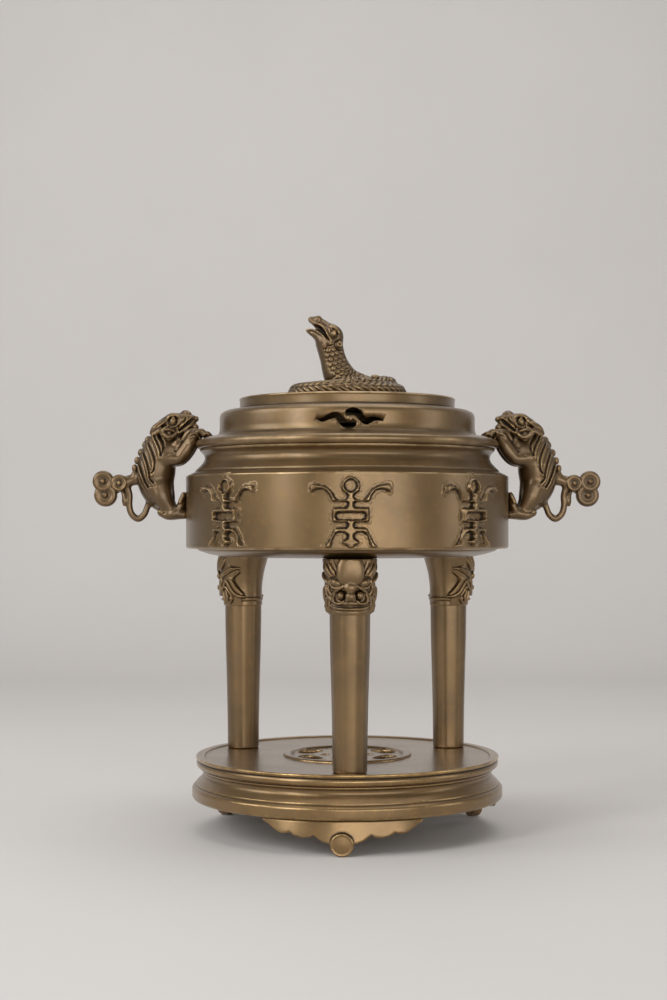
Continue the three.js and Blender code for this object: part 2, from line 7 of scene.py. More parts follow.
import bpy
import numpy as np
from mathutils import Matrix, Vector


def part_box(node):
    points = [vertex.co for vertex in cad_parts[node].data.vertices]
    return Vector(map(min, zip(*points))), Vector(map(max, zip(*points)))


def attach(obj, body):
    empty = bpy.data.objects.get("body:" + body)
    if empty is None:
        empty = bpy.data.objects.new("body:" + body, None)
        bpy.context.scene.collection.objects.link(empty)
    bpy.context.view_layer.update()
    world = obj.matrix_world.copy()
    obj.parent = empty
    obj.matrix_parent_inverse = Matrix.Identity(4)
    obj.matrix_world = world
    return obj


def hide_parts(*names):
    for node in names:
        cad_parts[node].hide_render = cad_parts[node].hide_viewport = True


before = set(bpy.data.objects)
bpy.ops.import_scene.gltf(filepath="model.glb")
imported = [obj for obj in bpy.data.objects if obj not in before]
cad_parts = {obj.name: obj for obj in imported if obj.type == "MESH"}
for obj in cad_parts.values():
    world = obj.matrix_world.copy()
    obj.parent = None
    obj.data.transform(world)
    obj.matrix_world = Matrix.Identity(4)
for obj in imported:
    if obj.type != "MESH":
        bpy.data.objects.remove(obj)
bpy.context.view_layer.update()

import openvdb
from mathutils import Vector

MM = 0.001
TURN = 2 * math.pi


def reach(node):
    """Lowest and highest corner of a CAD node in millimetres."""
    low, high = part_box(node)
    return np.array(low) / MM, np.array(high) / MM


# Heights and radii that the pieces share
STAND_LOW, STAND_HIGH = reach("stand")
LEG_LOW, LEG_HIGH = reach("leg_front")
BOWL_LOW, BOWL_HIGH = reach("bowl")
LID_LOW, LID_HIGH = reach("lid")
SNAKE_LOW, SNAKE_HIGH = reach("snake")
STAND_FOOT = STAND_LOW[2]
STAND_TOP = STAND_HIGH[2]
TRAY = LEG_LOW[2]
BOWL_FOOT = BOWL_LOW[2]
DRUM_FOOT = BOWL_FOOT + 5.5
RIM_TOP = BOWL_HIGH[2]
LID_FOOT = LID_LOW[2] + 5.8
CROWN_TOP = LID_HIGH[2]
STAND_RADIUS = STAND_HIGH[0]
DRUM_RADIUS = 110.0
LEG_CIRCLE = 84.0
THIRDS = (0, 120, 240)


# Finishes

class Level:
    """A value in a material. Sums, products and powers of levels become Math nodes."""

    def __init__(self, finish, socket):
        self.finish = finish
        self.socket = socket

    def sum_of(self, operation, first, second, clamp=False):
        return self.finish.node("Math", {"operation": operation, "use_clamp": clamp}, {0: first, 1: second})

    def __add__(self, other):
        return self.sum_of("ADD", self, other)

    def __sub__(self, other):
        return self.sum_of("SUBTRACT", self, other)

    def __rsub__(self, other):
        return self.sum_of("SUBTRACT", other, self)

    def __mul__(self, other):
        return self.sum_of("MULTIPLY", self, other)

    def __pow__(self, other):
        return self.sum_of("POWER", self, other)

    def within(self):
        """The same level, kept between 0 and 1."""
        return self.sum_of("ADD", self, 0.0, clamp=True)

    __radd__ = __add__
    __rmul__ = __mul__


class Finish:
    """A material that is being mixed."""

    def __init__(self, name):
        self.material = bpy.data.materials.new(name)
        self.material.use_nodes = True
        self.tree = self.material.node_tree
        self.tree.nodes.clear()
        self.place = self.node("TexCoord", output="Object")

    def node(self, kind, settings=None, sockets=None, output=0):
        node = self.tree.nodes.new("ShaderNode" + kind)
        for name, value in (settings or {}).items():
            if name == "stops":
                ramp = node.color_ramp
                while len(ramp.elements) < len(value):
                    ramp.elements.new(0.5)
                for element, (position, colour) in zip(ramp.elements, value):
                    element.position = position
                    element.color = colour
            else:
                setattr(node, name, value)
        for name, value in (sockets or {}).items():
            if isinstance(value, Level):
                self.tree.links.new(value.socket, node.inputs[name])
            else:
                node.inputs[name].default_value = value
        return Level(self, node.outputs[output])

    def noise(self, per_metre, detail=4.0, roughness=0.55):
        """Cloudy unevenness with so many patches to the metre, from 0 to 1."""
        sockets = {"Vector": self.place, "Scale": per_metre, "Detail": detail, "Roughness": roughness}
        return self.node("TexNoise", {}, sockets, "Fac")

    def stain(self, first, second, share):
        """One colour passing into another."""
        return self.node("Mix", {"data_type": "RGBA"}, {0: share, 6: first, 7: second}, 2)

    def ramp(self, level, low, high):
        """0 below the low level, 1 above the high one, soft between."""
        settings = {"interpolation_type": "SMOOTHSTEP"}
        return self.node("MapRange", settings, {"Value": level, "From Min": low, "From Max": high})

    def carved(self, name):
        """How far a spot stands out of its surroundings, as the meshes keep it."""
        return self.node("Attribute", {"attribute_name": name}, output="Fac")

    def shows(self, shader):
        output = self.tree.nodes.new("ShaderNodeOutputMaterial")
        self.tree.links.new(shader.socket, output.inputs["Surface"])


def colour(red, green, blue):
    """A colour as it looks on a screen, 0 to 255, made linear."""
    return tuple(((c / 255 + 0.055) / 1.055) ** 2.4 for c in (red, green, blue)) + (1.0,)


def bronze(name, body, hollow_patina_and_shade, rubbed, gold=0.25, polish=0.27):
    """Cast bronze: brown patina, dark in the hollows and creases as patina and painted shade, rubbed bright on the
    ridges.
    """
    finish = Finish(name)
    ridge = finish.carved("ridge")
    hollow = finish.carved("hollow")
    patches = finish.noise(26, 3.0)
    mottle = finish.noise(170, 5.0, 0.6)
    grain = finish.noise(900, 3.0, 0.6)
    flow = finish.noise(60, 2.0)
    tone = finish.stain(body, tuple(c * 0.74 for c in body[:3]) + (1.0,), finish.ramp(patches, 0.35, 0.7))
    warm = tuple(np.array(body[:3]) * (1.25, 1.12, 0.9)) + (1.0,)
    tone = finish.stain(tone, warm, finish.ramp(mottle, 0.5, 0.75) * 0.5)
    # Patina with painted shade: hollows and creases are darker, rougher, less metallic and less coated
    patina_and_painted_shade = (finish.ramp(hollow, 0.06, 0.6) + finish.ramp(ridge, -0.04, -0.26) * 0.7).within()
    patina_and_painted_shade = (patina_and_painted_shade * (0.7 + mottle * 0.6)).within()
    tone = finish.stain(tone, hollow_patina_and_shade, patina_and_painted_shade)
    worn = finish.ramp(ridge + mottle * 0.06, 0.07, 0.26)
    golden = finish.stain(rubbed, warm, finish.ramp(flow, 0.45, 0.62) * (1 - gold))
    tone = finish.stain(tone, golden, worn * (0.35 + mottle * 0.6))
    rough = polish + patches * 0.1 + grain * 0.1 + patina_and_painted_shade * 0.16 - worn * 0.05
    height = grain * 0.35 + mottle * 0.8 + finish.noise(2600, 2.0) * 0.12
    bump = finish.node("Bump", {}, {"Height": height, "Distance": 0.0002, "Strength": 0.32}, "Normal")
    sockets = {
        "Base Color": tone,
        "Metallic": 0.86 - patina_and_painted_shade * 0.16,
        "Roughness": rough,
        "Normal": bump,
        "Coat Weight": (0.65 - patina_and_painted_shade * 0.6).within(),
        "Coat Roughness": 0.27,
    }
    finish.shows(finish.node("BsdfPrincipled", {}, sockets))
    return finish.material


# The second colour of each is the dark of the hollows and creases: patina with painted shade
stand_bronze = bronze("stand_bronze", colour(134, 106, 66), colour(40, 29, 16), colour(198, 164, 104), 0.1, 0.2)
leg_bronze = bronze("leg_bronze", colour(120, 95, 60), colour(34, 25, 14), colour(196, 162, 108), 0.1)
bowl_bronze = bronze("bowl_bronze", colour(120, 95, 59), colour(32, 23, 12), colour(196, 168, 124), 0.1)
figure_bronze = bronze("figure_bronze", colour(104, 81, 50), colour(26, 19, 11), colour(186, 154, 102), 0.15)


# Shaping

def through(points, steps):
    """A smooth run through a few points, each a row of numbers."""
    rows = np.array(points, float)
    rows = np.vstack([2 * rows[0] - rows[1], rows, 2 * rows[-1] - rows[-2]])
    share = (np.arange(steps) / steps)[:, None]
    run = []
    for a, b, c, d in zip(rows, rows[1:], rows[2:], rows[3:]):
        bend = (2 * a - 5 * b + 4 * c - d) * share ** 2 + (3 * b - a - 3 * c + d) * share ** 3
        run.append(b + 0.5 * ((c - a) * share + bend))
    return np.vstack([*run, rows[-2]])


def line_gap(u, v, run):
    """Distance in a flat view from each spot to a run of [u, v] points."""
    nearest = np.full(np.broadcast(u, v).shape, 1e3)
    for (u0, v0), (u1, v1) in zip(run[:, :2], run[1:, :2]):
        du, dv = u1 - u0, v1 - v0
        share = np.clip(((u - u0) * du + (v - v0) * dv) / (du * du + dv * dv + 1e-9), 0, 1)
        nearest = np.minimum(nearest, np.hypot(u - u0 - share * du, v - v0 - share * dv))
    return nearest


def outline_gap(u, v, loops):
    """Distance to closed outlines in a flat view, less than 0 inside them; a loop in a loop is a hole."""
    gap = np.full(np.broadcast(u, v).shape, 1e3)
    inside = np.zeros(gap.shape, bool)
    for loop in loops:
        run = np.vstack([loop, loop[:1]])
        gap = np.minimum(gap, line_gap(u, v, run))
        for (u0, v0), (u1, v1) in zip(run, run[1:]):
            if v0 != v1:
                crossing = u0 + (v - v0) * (u1 - u0) / (v1 - v0)
                inside ^= ((v0 > v) != (v1 > v)) & (u < crossing)
    return np.where(inside, -gap, gap)


def eased(field, rounds):
    """A flat field with its sharp turns rounded."""
    for _ in range(rounds):
        padded = np.pad(field, 1, "edge")
        field = (padded[1:-1, 1:-1] * 4 + padded[:-2, 1:-1] + padded[2:, 1:-1]
                 + padded[1:-1, :-2] + padded[1:-1, 2:]) / 8
    return field


def softer_min(first, second, soft):
    overlap = np.maximum(soft - np.abs(first - second), 0) / soft
    return np.minimum(first, second) - overlap ** 2 * soft / 4


def uneven(u, v, size, seed=0.0):
    """Gentle waviness of a cast face, from -1 to 1."""
    u, v = u / size + seed, v / size - seed
    return (np.sin(u * 1.7 + np.sin(v * 1.3 + seed)) + np.sin(v * 2.1 + 1.4 * np.sin(u * 1.1))) / 2


class Form:
    """A surface in millimetres: corners, four-sided faces, and how ridged and hollow each corner is."""

    def __init__(self, corners, faces, ridge, hollow):
        self.corners = corners
        self.faces = faces
        self.ridge = ridge
        self.hollow = hollow

    def shaped(self, corners, flipped=False):
        return Form(corners, self.faces[:, ::-1] if flipped else self.faces, self.ridge, self.hollow)

    def turned(self, degrees):
        """Turned about the upright axis."""
        turn = math.radians(degrees)
        x, y, z = self.corners.T
        spun = [x * math.cos(turn) - y * math.sin(turn), x * math.sin(turn) + y * math.cos(turn), z]
        return self.shaped(np.stack(spun, 1))

    def mirrored(self):
        """Left and right changed over."""
        return self.shaped(self.corners * (-1, 1, 1), flipped=True)

    def moved(self, x, y, z):
        return self.shaped(self.corners + (x, y, z))

    def bent(self, radius):
        """A flat form with its X run round a drum of that radius and its -Y standing proud of it."""
        angle = self.corners[:, 0] / radius
        out = radius - self.corners[:, 1]
        return self.shaped(np.stack([out * np.sin(angle), -out * np.cos(angle), self.corners[:, 2]], 1))


def relief(corners, faces, fine=7, broad=45):
    """How far each corner stands out of (ridge) or lies below (hollow) its surroundings."""
    across, down = corners[faces[:, 2]] - corners[faces[:, 0]], corners[faces[:, 3]] - corners[faces[:, 1]]
    normals = np.zeros_like(corners)
    face_normals = np.cross(across, down)
    for side in range(4):
        for axis in range(3):
            normals[:, axis] += np.bincount(faces[:, side], face_normals[:, axis], len(corners))
    normals /= np.linalg.norm(normals, axis=1)[:, None] + 1e-9
    starts = faces.ravel()
    ends = np.roll(faces, -1, axis=1).ravel()
    count = np.bincount(starts, minlength=len(corners))[:, None] + 1e-9
    settled = corners.copy()
    for step in range(broad):
        pull = np.stack([np.bincount(starts, settled[ends, k], len(corners)) for k in range(3)], 1)
        settled += 0.5 * (pull / count - settled)
        if step == fine - 1:
            ridge = ((corners - settled) * normals).sum(1)
    return ridge, ((settled - corners) * normals).sum(1)


class Clay:
    """A block of fine cubes that each keep their distance to the surface, less than 0 inside."""

    def __init__(self, low, high, grain):
        self.grain = grain
        self.sides = [np.arange(a, b + grain, grain) for a, b in zip(low, high)]
        self.gap = np.full([len(side) for side in self.sides], 6.0, np.float32)

    def near(self, low, high):
        """The cubes between two corners, with their X, Y and Z."""
        cut = tuple(slice(*np.searchsorted(side, ends)) for side, ends in zip(self.sides, zip(low, high)))
        x, y, z = (side[part] for side, part in zip(self.sides, cut))
        return cut, x[:, None, None], y[None, :, None], z[None, None, :]

    def add(self, cut, gap, soft):
        self.gap[cut] = softer_min(self.gap[cut], gap, soft)

    def cut_away(self, cut, gap, soft):
        self.gap[cut] = -softer_min(-self.gap[cut], gap, soft)

    def ball(self, place, size, tilt=0.0, soft=1.5, hollow=False):
        """A rounded lump with half sizes along X, Y and Z, tilted in the side view."""
        place, size = np.array(place, float), np.array(size, float)
        far = size.max() + soft + 2
        cut, x, y, z = self.near(place - far, place + far)
        cosine, sine = math.cos(math.radians(tilt)), math.sin(math.radians(tilt))
        along = ((x - place[0]) * cosine + (z - place[2]) * sine) / size[0]
        across = (y - place[1]) / size[1]
        over = ((z - place[2]) * cosine - (x - place[0]) * sine) / size[2]
        whole = np.sqrt(along ** 2 + across ** 2 + over ** 2)
        slope = np.sqrt((along / size[0]) ** 2 + (across / size[1]) ** 2 + (over / size[2]) ** 2)
        gap = whole * (whole - 1) / np.maximum(slope, 1e-6)
        (self.cut_away if hollow else self.add)(cut, gap, soft)

    def rope(self, points, soft=1.5, steps=4, broad=1.0, hollow=False):
        """A limb through [x, y, z, half thickness] points, broader along Y than in the side view."""
        run = through(points, steps)
        run[:, 3] = np.maximum(run[:, 3], 0.05)
        far = run[:, 3].max() * max(broad, 1) + soft + 2
        cut, x, y, z = self.near(run[:, :3].min(0) - far, run[:, :3].max(0) + far)
        gap = np.full(self.gap[cut].shape, 9.0, np.float32)
        for a, b in zip(run, run[1:]):
            close = max(a[3], b[3]) * max(broad, 1) + soft + 2
            low, high = np.minimum(a, b)[:3] - close, np.maximum(a, b)[:3] + close
            part, px, py, pz = self.near(low, high)
            inner = tuple(slice(p.start - c.start, p.stop - c.start) for p, c in zip(part, cut))
            start = a[:3] / (1, broad, 1)
            step = b[:3] / (1, broad, 1) - start
            dx, dy, dz = px - start[0], py / broad - start[1], pz - start[2]
            share = np.clip((dx * step[0] + dy * step[1] + dz * step[2]) / (step @ step + 1e-9), 0, 1)
            away = np.sqrt((dx - share * step[0]) ** 2 + (dy - share * step[1]) ** 2 + (dz - share * step[2]) ** 2)
            gap[inner] = np.minimum(gap[inner], away - a[3] - share * (b[3] - a[3]))
        (self.cut_away if hollow else self.add)(cut, gap, soft)

    def side_marks(self, lines):
        """Lines drawn on the side view, each [points, half width, depth]; a depth under 0 stands proud."""
        x, z = self.sides[0][:, None], self.sides[2][None, :]
        marks = np.zeros((len(self.sides[0]), len(self.sides[2])))
        for points, width, depth in lines:
            mark = depth * np.exp(-(line_gap(x, z, through(points, 5)) / width) ** 2)
            marks = np.where(np.abs(mark) > np.abs(marks), mark, marks)
        return marks

    def both_halves(self):
        """The block with its other half beyond Y = 0."""
        self.gap = np.concatenate([self.gap[:, :0:-1], self.gap], axis=1)
        self.sides[1] = np.concatenate([-self.sides[1][:0:-1], self.sides[1]])

    def surface(self, kept=1.0):
        """The skin of the block, with all its faces or a share of them."""
        shell = self.gap.copy()
        for axis in range(3):
            edge = [slice(None)] * 3
            for end in (0, -1):
                edge[axis] = end
                shell[tuple(edge)] = 6.0
        grid = openvdb.FloatGrid(6.0)
        grid.copyFromArray(shell)
        corners, faces = grid.convertToQuads(isovalue=0.0)
        corners = corners.astype(float) * self.grain + [side[0] for side in self.sides]
        a, b, c, d = (corners[faces[:, i]] for i in range(4))
        volume = np.einsum("ij,ij->i", a, np.cross(b, c) + np.cross(c, d)).sum()
        if volume < 0:
            faces = faces[:, ::-1]
        faces = faces.astype(int)
        form = Form(corners, faces, *relief(corners, faces))
        return form if kept == 1 else thinned(form, kept)


def thinned(form, kept):
    """The same surface with a share of its faces, most of them where it bends most."""
    mesh = bpy.data.meshes.new("thinned")
    mesh.from_pydata(form.corners.tolist(), [], form.faces.tolist())
    for title in ("ridge", "hollow"):
        values = getattr(form, title).astype(np.float32)
        mesh.attributes.new(title, "FLOAT", "POINT").data.foreach_set("value", values)
    body = bpy.data.objects.new("thinned", mesh)
    bpy.context.scene.collection.objects.link(body)
    fewer = body.modifiers.new("fewer", "DECIMATE")
    fewer.ratio, fewer.use_collapse_triangulate = kept, True
    bpy.context.view_layer.update()
    light = bpy.data.meshes.new_from_object(body.evaluated_get(bpy.context.evaluated_depsgraph_get()))
    bpy.data.objects.remove(body)
    corners, faces = np.empty(len(light.vertices) * 3), np.empty(len(light.loops), int)
    light.vertices.foreach_get("co", corners)
    light.loops.foreach_get("vertex_index", faces)
    values = []
    for title in ("ridge", "hollow"):
        values.append(np.empty(len(light.vertices)))
        light.attributes[title].data.foreach_get("value", values[-1])
    return Form(corners.reshape(-1, 3), faces.reshape(-1, 3), *values)


def rounded(profile, spacing=0.4):
    """A closed profile of [radius, height, corner radius] rows as a fine run of points."""
    rows = np.array(profile, float)
    run = []
    for before, here, after in zip(np.roll(rows, 1, 0), rows, np.roll(rows, -1, 0)):
        start, end = before[:2] - here[:2], after[:2] - here[:2]
        long_in, long_out = np.hypot(*start), np.hypot(*end)
        cut = min(here[2], long_in / 2.1, long_out / 2.1)
        if cut < 0.05:
            run.append(here[:2])
            continue
        a, b = here[:2] + start / long_in * cut, here[:2] + end / long_out * cut
        share = np.linspace(0, 1, 7)[:, None]
        run.extend((1 - share) ** 2 * a + 2 * share * (1 - share) * here[:2] + share ** 2 * b)
    run = np.array(run)
    loop = np.vstack([run, run[:1]])
    lengths = np.concatenate([[0], np.cumsum(np.hypot(*np.diff(loop, axis=0).T))])
    marks = np.arange(0, lengths[-1], spacing)
    return np.stack([np.interp(marks, lengths, loop[:, k]) for k in range(2)], 1)


def lathed(profile, columns=144, wave=0.0):
    """A turned form: a closed profile of [radius, height, corner radius] rows, clockwise seen from -Y."""
    fine = rounded(profile)
    ahead = np.roll(fine, -1, 0) - np.roll(fine, 1, 0)
    normals = np.stack([ahead[:, 1], -ahead[:, 0]], 1) / (np.hypot(*ahead.T)[:, None] + 1e-9)
    area = 0.5 * (fine[:, 0] * np.roll(fine[:, 1], -1) - np.roll(fine[:, 0], -1) * fine[:, 1]).sum()
    normals *= 1 if area > 0 else -1
    settled = fine.copy()
    for step in range(16):
        settled += 0.25 * (np.roll(settled, 1, 0) + np.roll(settled, -1, 0) - 2 * settled)
        if step == 6:
            ridge = ((fine - settled) * normals).sum(1)
    hollow = 1.1 * ((settled - fine) * normals).sum(1)
    turn = np.arctan2(ahead[:, 1], ahead[:, 0])
    kept = [0]
    for i in range(1, len(fine)):
        bend = abs((turn[i] - turn[kept[-1]] + math.pi) % TURN - math.pi)
        if bend > 0.14 or abs(ridge[i] - ridge[kept[-1]]) > 0.03 or i - kept[-1] > 16:
            kept.append(i)
    fine, ridge, hollow = fine[kept], ridge[kept], hollow[kept]
    if area < 0:
        fine, ridge, hollow = fine[::-1], ridge[::-1], hollow[::-1]
    angles = np.arange(columns) / columns * TURN
    sway = 1 + wave * (np.sin(3 * angles + 0.7) + 0.6 * np.sin(7 * angles)) / np.maximum(fine[:, :1], 20)
    x = fine[:, :1] * sway * np.cos(angles)
    y = fine[:, :1] * sway * np.sin(angles)
    z = np.broadcast_to(fine[:, 1:], x.shape)
    corners = np.stack([x, y, z], -1).reshape(-1, 3)
    rows, cells = np.meshgrid(np.arange(len(fine)), np.arange(columns), indexing="ij")
    next_row, next_cell = (rows + 1) % len(fine), (cells + 1) % columns
    faces = np.stack([rows * columns + cells, rows * columns + next_cell,
                      next_row * columns + next_cell, next_row * columns + cells], -1).reshape(-1, 4)
    return Form(corners, faces, np.repeat(ridge, columns), np.repeat(hollow, columns))


def piece(name, forms, finish, slot, *nodes):
    """One piece of the burner, made of forms, that stands for CAD nodes."""
    starts = np.cumsum([0] + [len(form.corners) for form in forms])
    corners = np.vstack([form.corners for form in forms]) * MM
    faces = [face for form, start in zip(forms, starts) for face in (form.faces + start).tolist()]
    mesh = bpy.data.meshes.new(name)
    mesh.from_pydata(corners.tolist(), [], faces)
    for title in ("ridge", "hollow"):
        values = np.concatenate([getattr(form, title) for form in forms]).astype(np.float32)
        mesh.attributes.new(title, "FLOAT", "POINT").data.foreach_set("value", values)
    mesh.shade_smooth()
    mesh.materials.append(finish)
    body = bpy.data.objects.new(name, mesh)
    bpy.context.scene.collection.objects.link(body)
    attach(body, "root")
    if nodes:
        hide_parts(*nodes)
    return body


# Stand: moulded drum with a raised rim round its tray and a pierced rosette

def stand_work():
    edge, foot, top = STAND_RADIUS, STAND_FOOT, STAND_TOP - 0.6
    tray = top - 1.0
    outer = [
        (edge - 12, foot, 0.3), (edge - 0.9, foot, 0.8), (edge, foot + 1.2, 0.8), (edge, foot + 7.2, 1.4),
        (edge - 1.4, foot + 8.6, 0.6), (edge - 2.7, foot + 9.4, 0.3), (edge - 2.5, foot + 10.2, 0.5),
        (edge - 5.2, foot + 12.6, 2.0), (edge - 7.6, foot + 15.6, 2.6), (edge - 7.2, foot + 18.4, 1.4),
        (edge - 5.9, foot + 19.2, 0.5), (edge - 6.3, foot + 20.2, 0.5), (edge - 3.2, foot + 21.6, 1.4),
        (edge - 2.8, foot + 24.2, 1.6), (edge - 3.9, foot + 25.7, 0.9), (edge - 2.8, foot + 26.5, 0.6),
        (edge - 2.5, top - 0.5, 0.5), (edge - 3.2, top, 0.5), (edge - 7.9, top, 0.7), (edge - 8.6, tray, 0.5),
    ]
    inner = [
        (42.6, tray, 0.2), (42.6, tray - 4, 0.2), (edge - 13.5, tray - 4, 2.0), (edge - 12, foot + 4, 1.0),
    ]
    return lathed(outer + inner, 168, 0.05)


def rosette():
    """The raised ring in the tray, with its openwork: six petals round a flower."""
    tray = STAND_TOP - 1.6
    clay = Clay((-45, -45, tray - 5), (45, 45, tray + 2.6), 0.75)
    x, y = clay.sides[0][:, None], clay.sides[1][None, :]
    away, turn = np.hypot(x, y), np.arctan2(y, x)
    sixth = np.abs((turn / TURN * 6) % 1 - 0.5) * 2
    plate = away - 43.9
    bean = np.hypot(away - 30, (sixth - 0.02) * away * 0.36) - 7.2
    curl = np.hypot(away - 33, (1 - sixth) * away * 0.5) - 3.4
    eyelet = np.hypot(away - 15, (1 - sixth) * away * 0.5) - 2.8
    cut = np.minimum(np.minimum(np.maximum(bean, -curl - 0.2), eyelet), away - 5.2)
    flat = -softer_min(-plate, cut, 1.2)
    ring = softer_min(1.6 * (np.abs(away - 41.2) < 2.4) * 1.0, np.full(away.shape, 1.6), 0.4)
    bead = 0.6 * np.exp(-((cut - 0.6) / 1.1) ** 2)
    height = tray + np.maximum(ring, bead)
    z = clay.sides[2][None, None, :]
    slab = np.maximum(z - eased(height, 2)[:, :, None], tray - 4 - z)
    clay.gap = -softer_min(-slab, -flat[:, :, None], 0.9).astype(np.float32)
    dull = clay.surface()
    dull.ridge = dull.ridge * 0.35
    return dull


def foot_work():
    """A scalloped apron with a round medallion that stands on the table."""
    radius = STAND_RADIUS - 4.4
    seen = [
        (0, 5), (8, 7.4), (13.7, 9.6), (18, 12.8), (20.6, 11.4), (25, 10.9), (30.2, 12), (33.2, 13.9),
        (34.4, 13.3), (39, 13.1), (42.5, 14.7), (46, 17.2), (49, 19), (51, 19.8), (51, 23), (0, 23),
    ]
    right = [(radius * math.asin(x / radius), z) for x, z in seen]
    outline = np.array(right + [(-x, z) for x, z in reversed(right) if x])
    clay = Clay((-56, -6, -1), (56, 5, 23.5), 0.5)
    x, y, z = clay.sides[0][:, None], clay.sides[1][None, :, None], clay.sides[2][None, :]
    gap = np.maximum(eased(outline_gap(x, z, [outline]), 1), z - 22.2)
    front = -0.2 - 0.15 * (22 - z) + 0.1 * uneven(x, z, 7)
    slab = np.maximum(front[:, None, :] - y, y - 3.6)
    clay.gap = -softer_min(-slab, -gap[:, None, :], 1.3).astype(np.float32)
    disc = np.hypot(x, z - 7.4) - 7.35
    face = -3.6 - 0.5 * np.clip(-disc / 7.35, 0, 1) ** 0.7 - 0.35 * np.exp(-((disc + 0.75) / 0.45) ** 2)
    coin = -softer_min(-np.maximum(face[:, None, :] - y, y - 3.6), -disc[:, None, :], 0.7)
    clay.gap = softer_min(clay.gap, coin, 0.25)
    clay.gap = np.maximum(clay.gap, 0.05 - clay.sides[2][None, None, :]).astype(np.float32)
    return clay.surface().bent(radius)


# Bowl: drum, shoulder, neck and rim, hollow, with six raised emblems

def bowl_work():
    drum, foot, base, top = DRUM_RADIUS, BOWL_FOOT, DRUM_FOOT, RIM_TOP
    edge = base + 48.9
    return lathed([
        (0, foot, 0), (86, foot, 2), (93, foot + 1.2, 3), (101.4, base - 1.6, 1), (102.4, base - 0.2, 0.4),
        (drum - 0.8, base, 0.7), (drum, base + 1.2, 0.8), (drum, edge - 0.2, 0.5),
        (drum - 3, edge + 1.4, 1.2), (drum - 6.1, edge + 2.7, 0.3), (drum - 6.5, edge + 4, 0.5),
        (drum - 9.1, edge + 6.3, 1.6), (drum - 11.6, edge + 9, 1.6), (drum - 12.9, edge + 12.2, 2),
        (drum - 12, edge + 14.8, 1.4), (drum - 9.7, edge + 16.9, 0.5), (drum - 9.2, edge + 18.1, 0.3),
        (drum - 9.7, edge + 18.5, 0.1), (drum - 8, edge + 18.9, 0.4), (drum - 6.4, edge + 21, 1.6),
        (drum - 7.2, edge + 23.9, 2.2), (96.8, top - 0.4, 1.6), (94, top, 0.6), (93.2, top - 0.5, 0.3),
        (93.2, top - 2.6, 0.3), (87, top - 2.6, 0.3), (87, top - 6.2, 1), (93.5, edge + 11, 4),
        (drum - 4, edge - 8, 3), (drum - 4, base + 4, 3), (98, foot + 4, 4), (0, foot + 4, 0),
    ], 168, 0.06)


def emblem():
    """A ringed head, two swept horns, a slotted box and a flared skirt, on a strip of rough ground."""
    half = [
        (0, 46.1), (2.4, 45.3), (4.6, 43.4), (6.1, 41.2), (6.4, 39.2), (5.9, 36.9), (4.6, 35.6), (2.8, 34.6),
        (2.3, 33.4), (2.5, 32.3), (3.9, 31.3), (7.7, 31.1), (9.4, 33), (11.4, 36.1), (13.6, 38.6), (16.7, 40.2),
        (19.8, 40.9), (22.6, 41.4), (24.6, 41.1), (25.6, 39.1), (25.7, 35.9), (24.9, 34.5), (22.6, 36.1),
        (20.4, 37.1), (18.1, 37.3), (15.6, 36.4), (13.6, 34.2), (12.5, 31.5), (12, 29.4), (2.9, 29.4), (2.3, 28.8),
        (2.3, 27.4), (3.1, 26.6), (11.9, 26.6), (11.9, 16.6), (3, 16.6), (2.4, 15.9), (2.4, 14.8), (3, 14.1),
        (9.9, 14), (10.8, 12.6), (12, 9.4), (13.8, 5.7), (16, 2.8), (18.9, 0.5), (12, 0.5), (11.2, 4.3),
        (10.3, 7.7), (9, 9.6), (6.9, 10.4), (4, 10.2), (2.4, 9), (2.5, 7.4), (4, 6.4), (6, 5.5), (6.1, 4),
        (4.6, 2.9), (2.6, 2.1), (1.9, 0.2),
    ]
    outline = np.array(half + [(-x, z) for x, z in reversed(half) if x])
    turns = np.linspace(0, TURN, 24, endpoint=False)
    ring = np.stack([3.3 * np.cos(turns), 39.9 + 3.4 * np.sin(turns)], 1)
    slot = np.stack([7 * np.sign(np.cos(turns)) + 1.6 * np.cos(turns), 20.8 + 1.8 * np.sin(turns)], 1)
    clay = Clay((-30, -5, -2.5), (30, 1.6, 49.5), 0.42)
    x, y, z = clay.sides[0][:, None], clay.sides[1][None, :, None], clay.sides[2][None, :]
    gap = eased(outline_gap(x, z, [outline, ring, slot]), 1)
    face = 3.6 + 0.14 * uneven(x, z, 6.3) + 0.1 * uneven(x, z, 2.9, 2.0) + 0.22 * np.exp(-((gap + 1.5) / 0.5) ** 2)
    rough = 0.16 + 0.1 * uneven(x, z, 1.3) + 0.08 * uneven(x, z, 0.75, 3.0)
    rough = rough - 0.3 * np.clip(gap - 1.1 - 0.6 * uneven(x, z, 4.1, 1.0), 0, 6)
    sides = gap[:, None, :] + 0.5 - 0.27 * y + 0.1 * uneven(x, z, 2.3, 5.0)[:, None, :]
    raised = -softer_min(-np.maximum(-face[:, None, :] - y, y - 1.2), -sides * 0.96, 0.6)
    rough = rough - 0.6 * np.clip(1.6 - z, 0, 4)
    ground = np.maximum(np.maximum(-rough[:, None, :] - y, y - 1.2), gap[:, None, :] - 5)
    clay.gap = softer_min(raised, ground, 0.5).astype(np.float32)
    return clay.surface(0.33).moved(0, 0, DRUM_FOOT + 0.6).bent(DRUM_RADIUS)


# Legs: a taper under a flared capital with a beast mask that looks outwards

def shaft():
    foot, top = TRAY, BOWL_FOOT - 33
    turned = lathed([
        (0, foot, 0), (10.9, foot, 0.5), (11.1, foot + 1, 0.4), (11.2, foot + 15, 8), (11.5, foot + 32, 14),
        (11.8, foot + 46, 14), (12.2, foot + 60, 14), (12.65, foot + 74, 14), (12.9, foot + 90, 6), (13, top, 0.2),
        (0, top, 0),
    ], 90)
    angle = np.arctan2(turned.corners[:, 1], turned.corners[:, 0])
    facets = 1 - 0.016 * np.abs(np.sin(5 * angle + 0.4)) * (1 + 0.3 * np.sin(2 * angle))
    return turned.shaped(turned.corners * np.stack([facets, facets, np.ones_like(facets)], 1)).moved(0, -LEG_CIRCLE, 0)


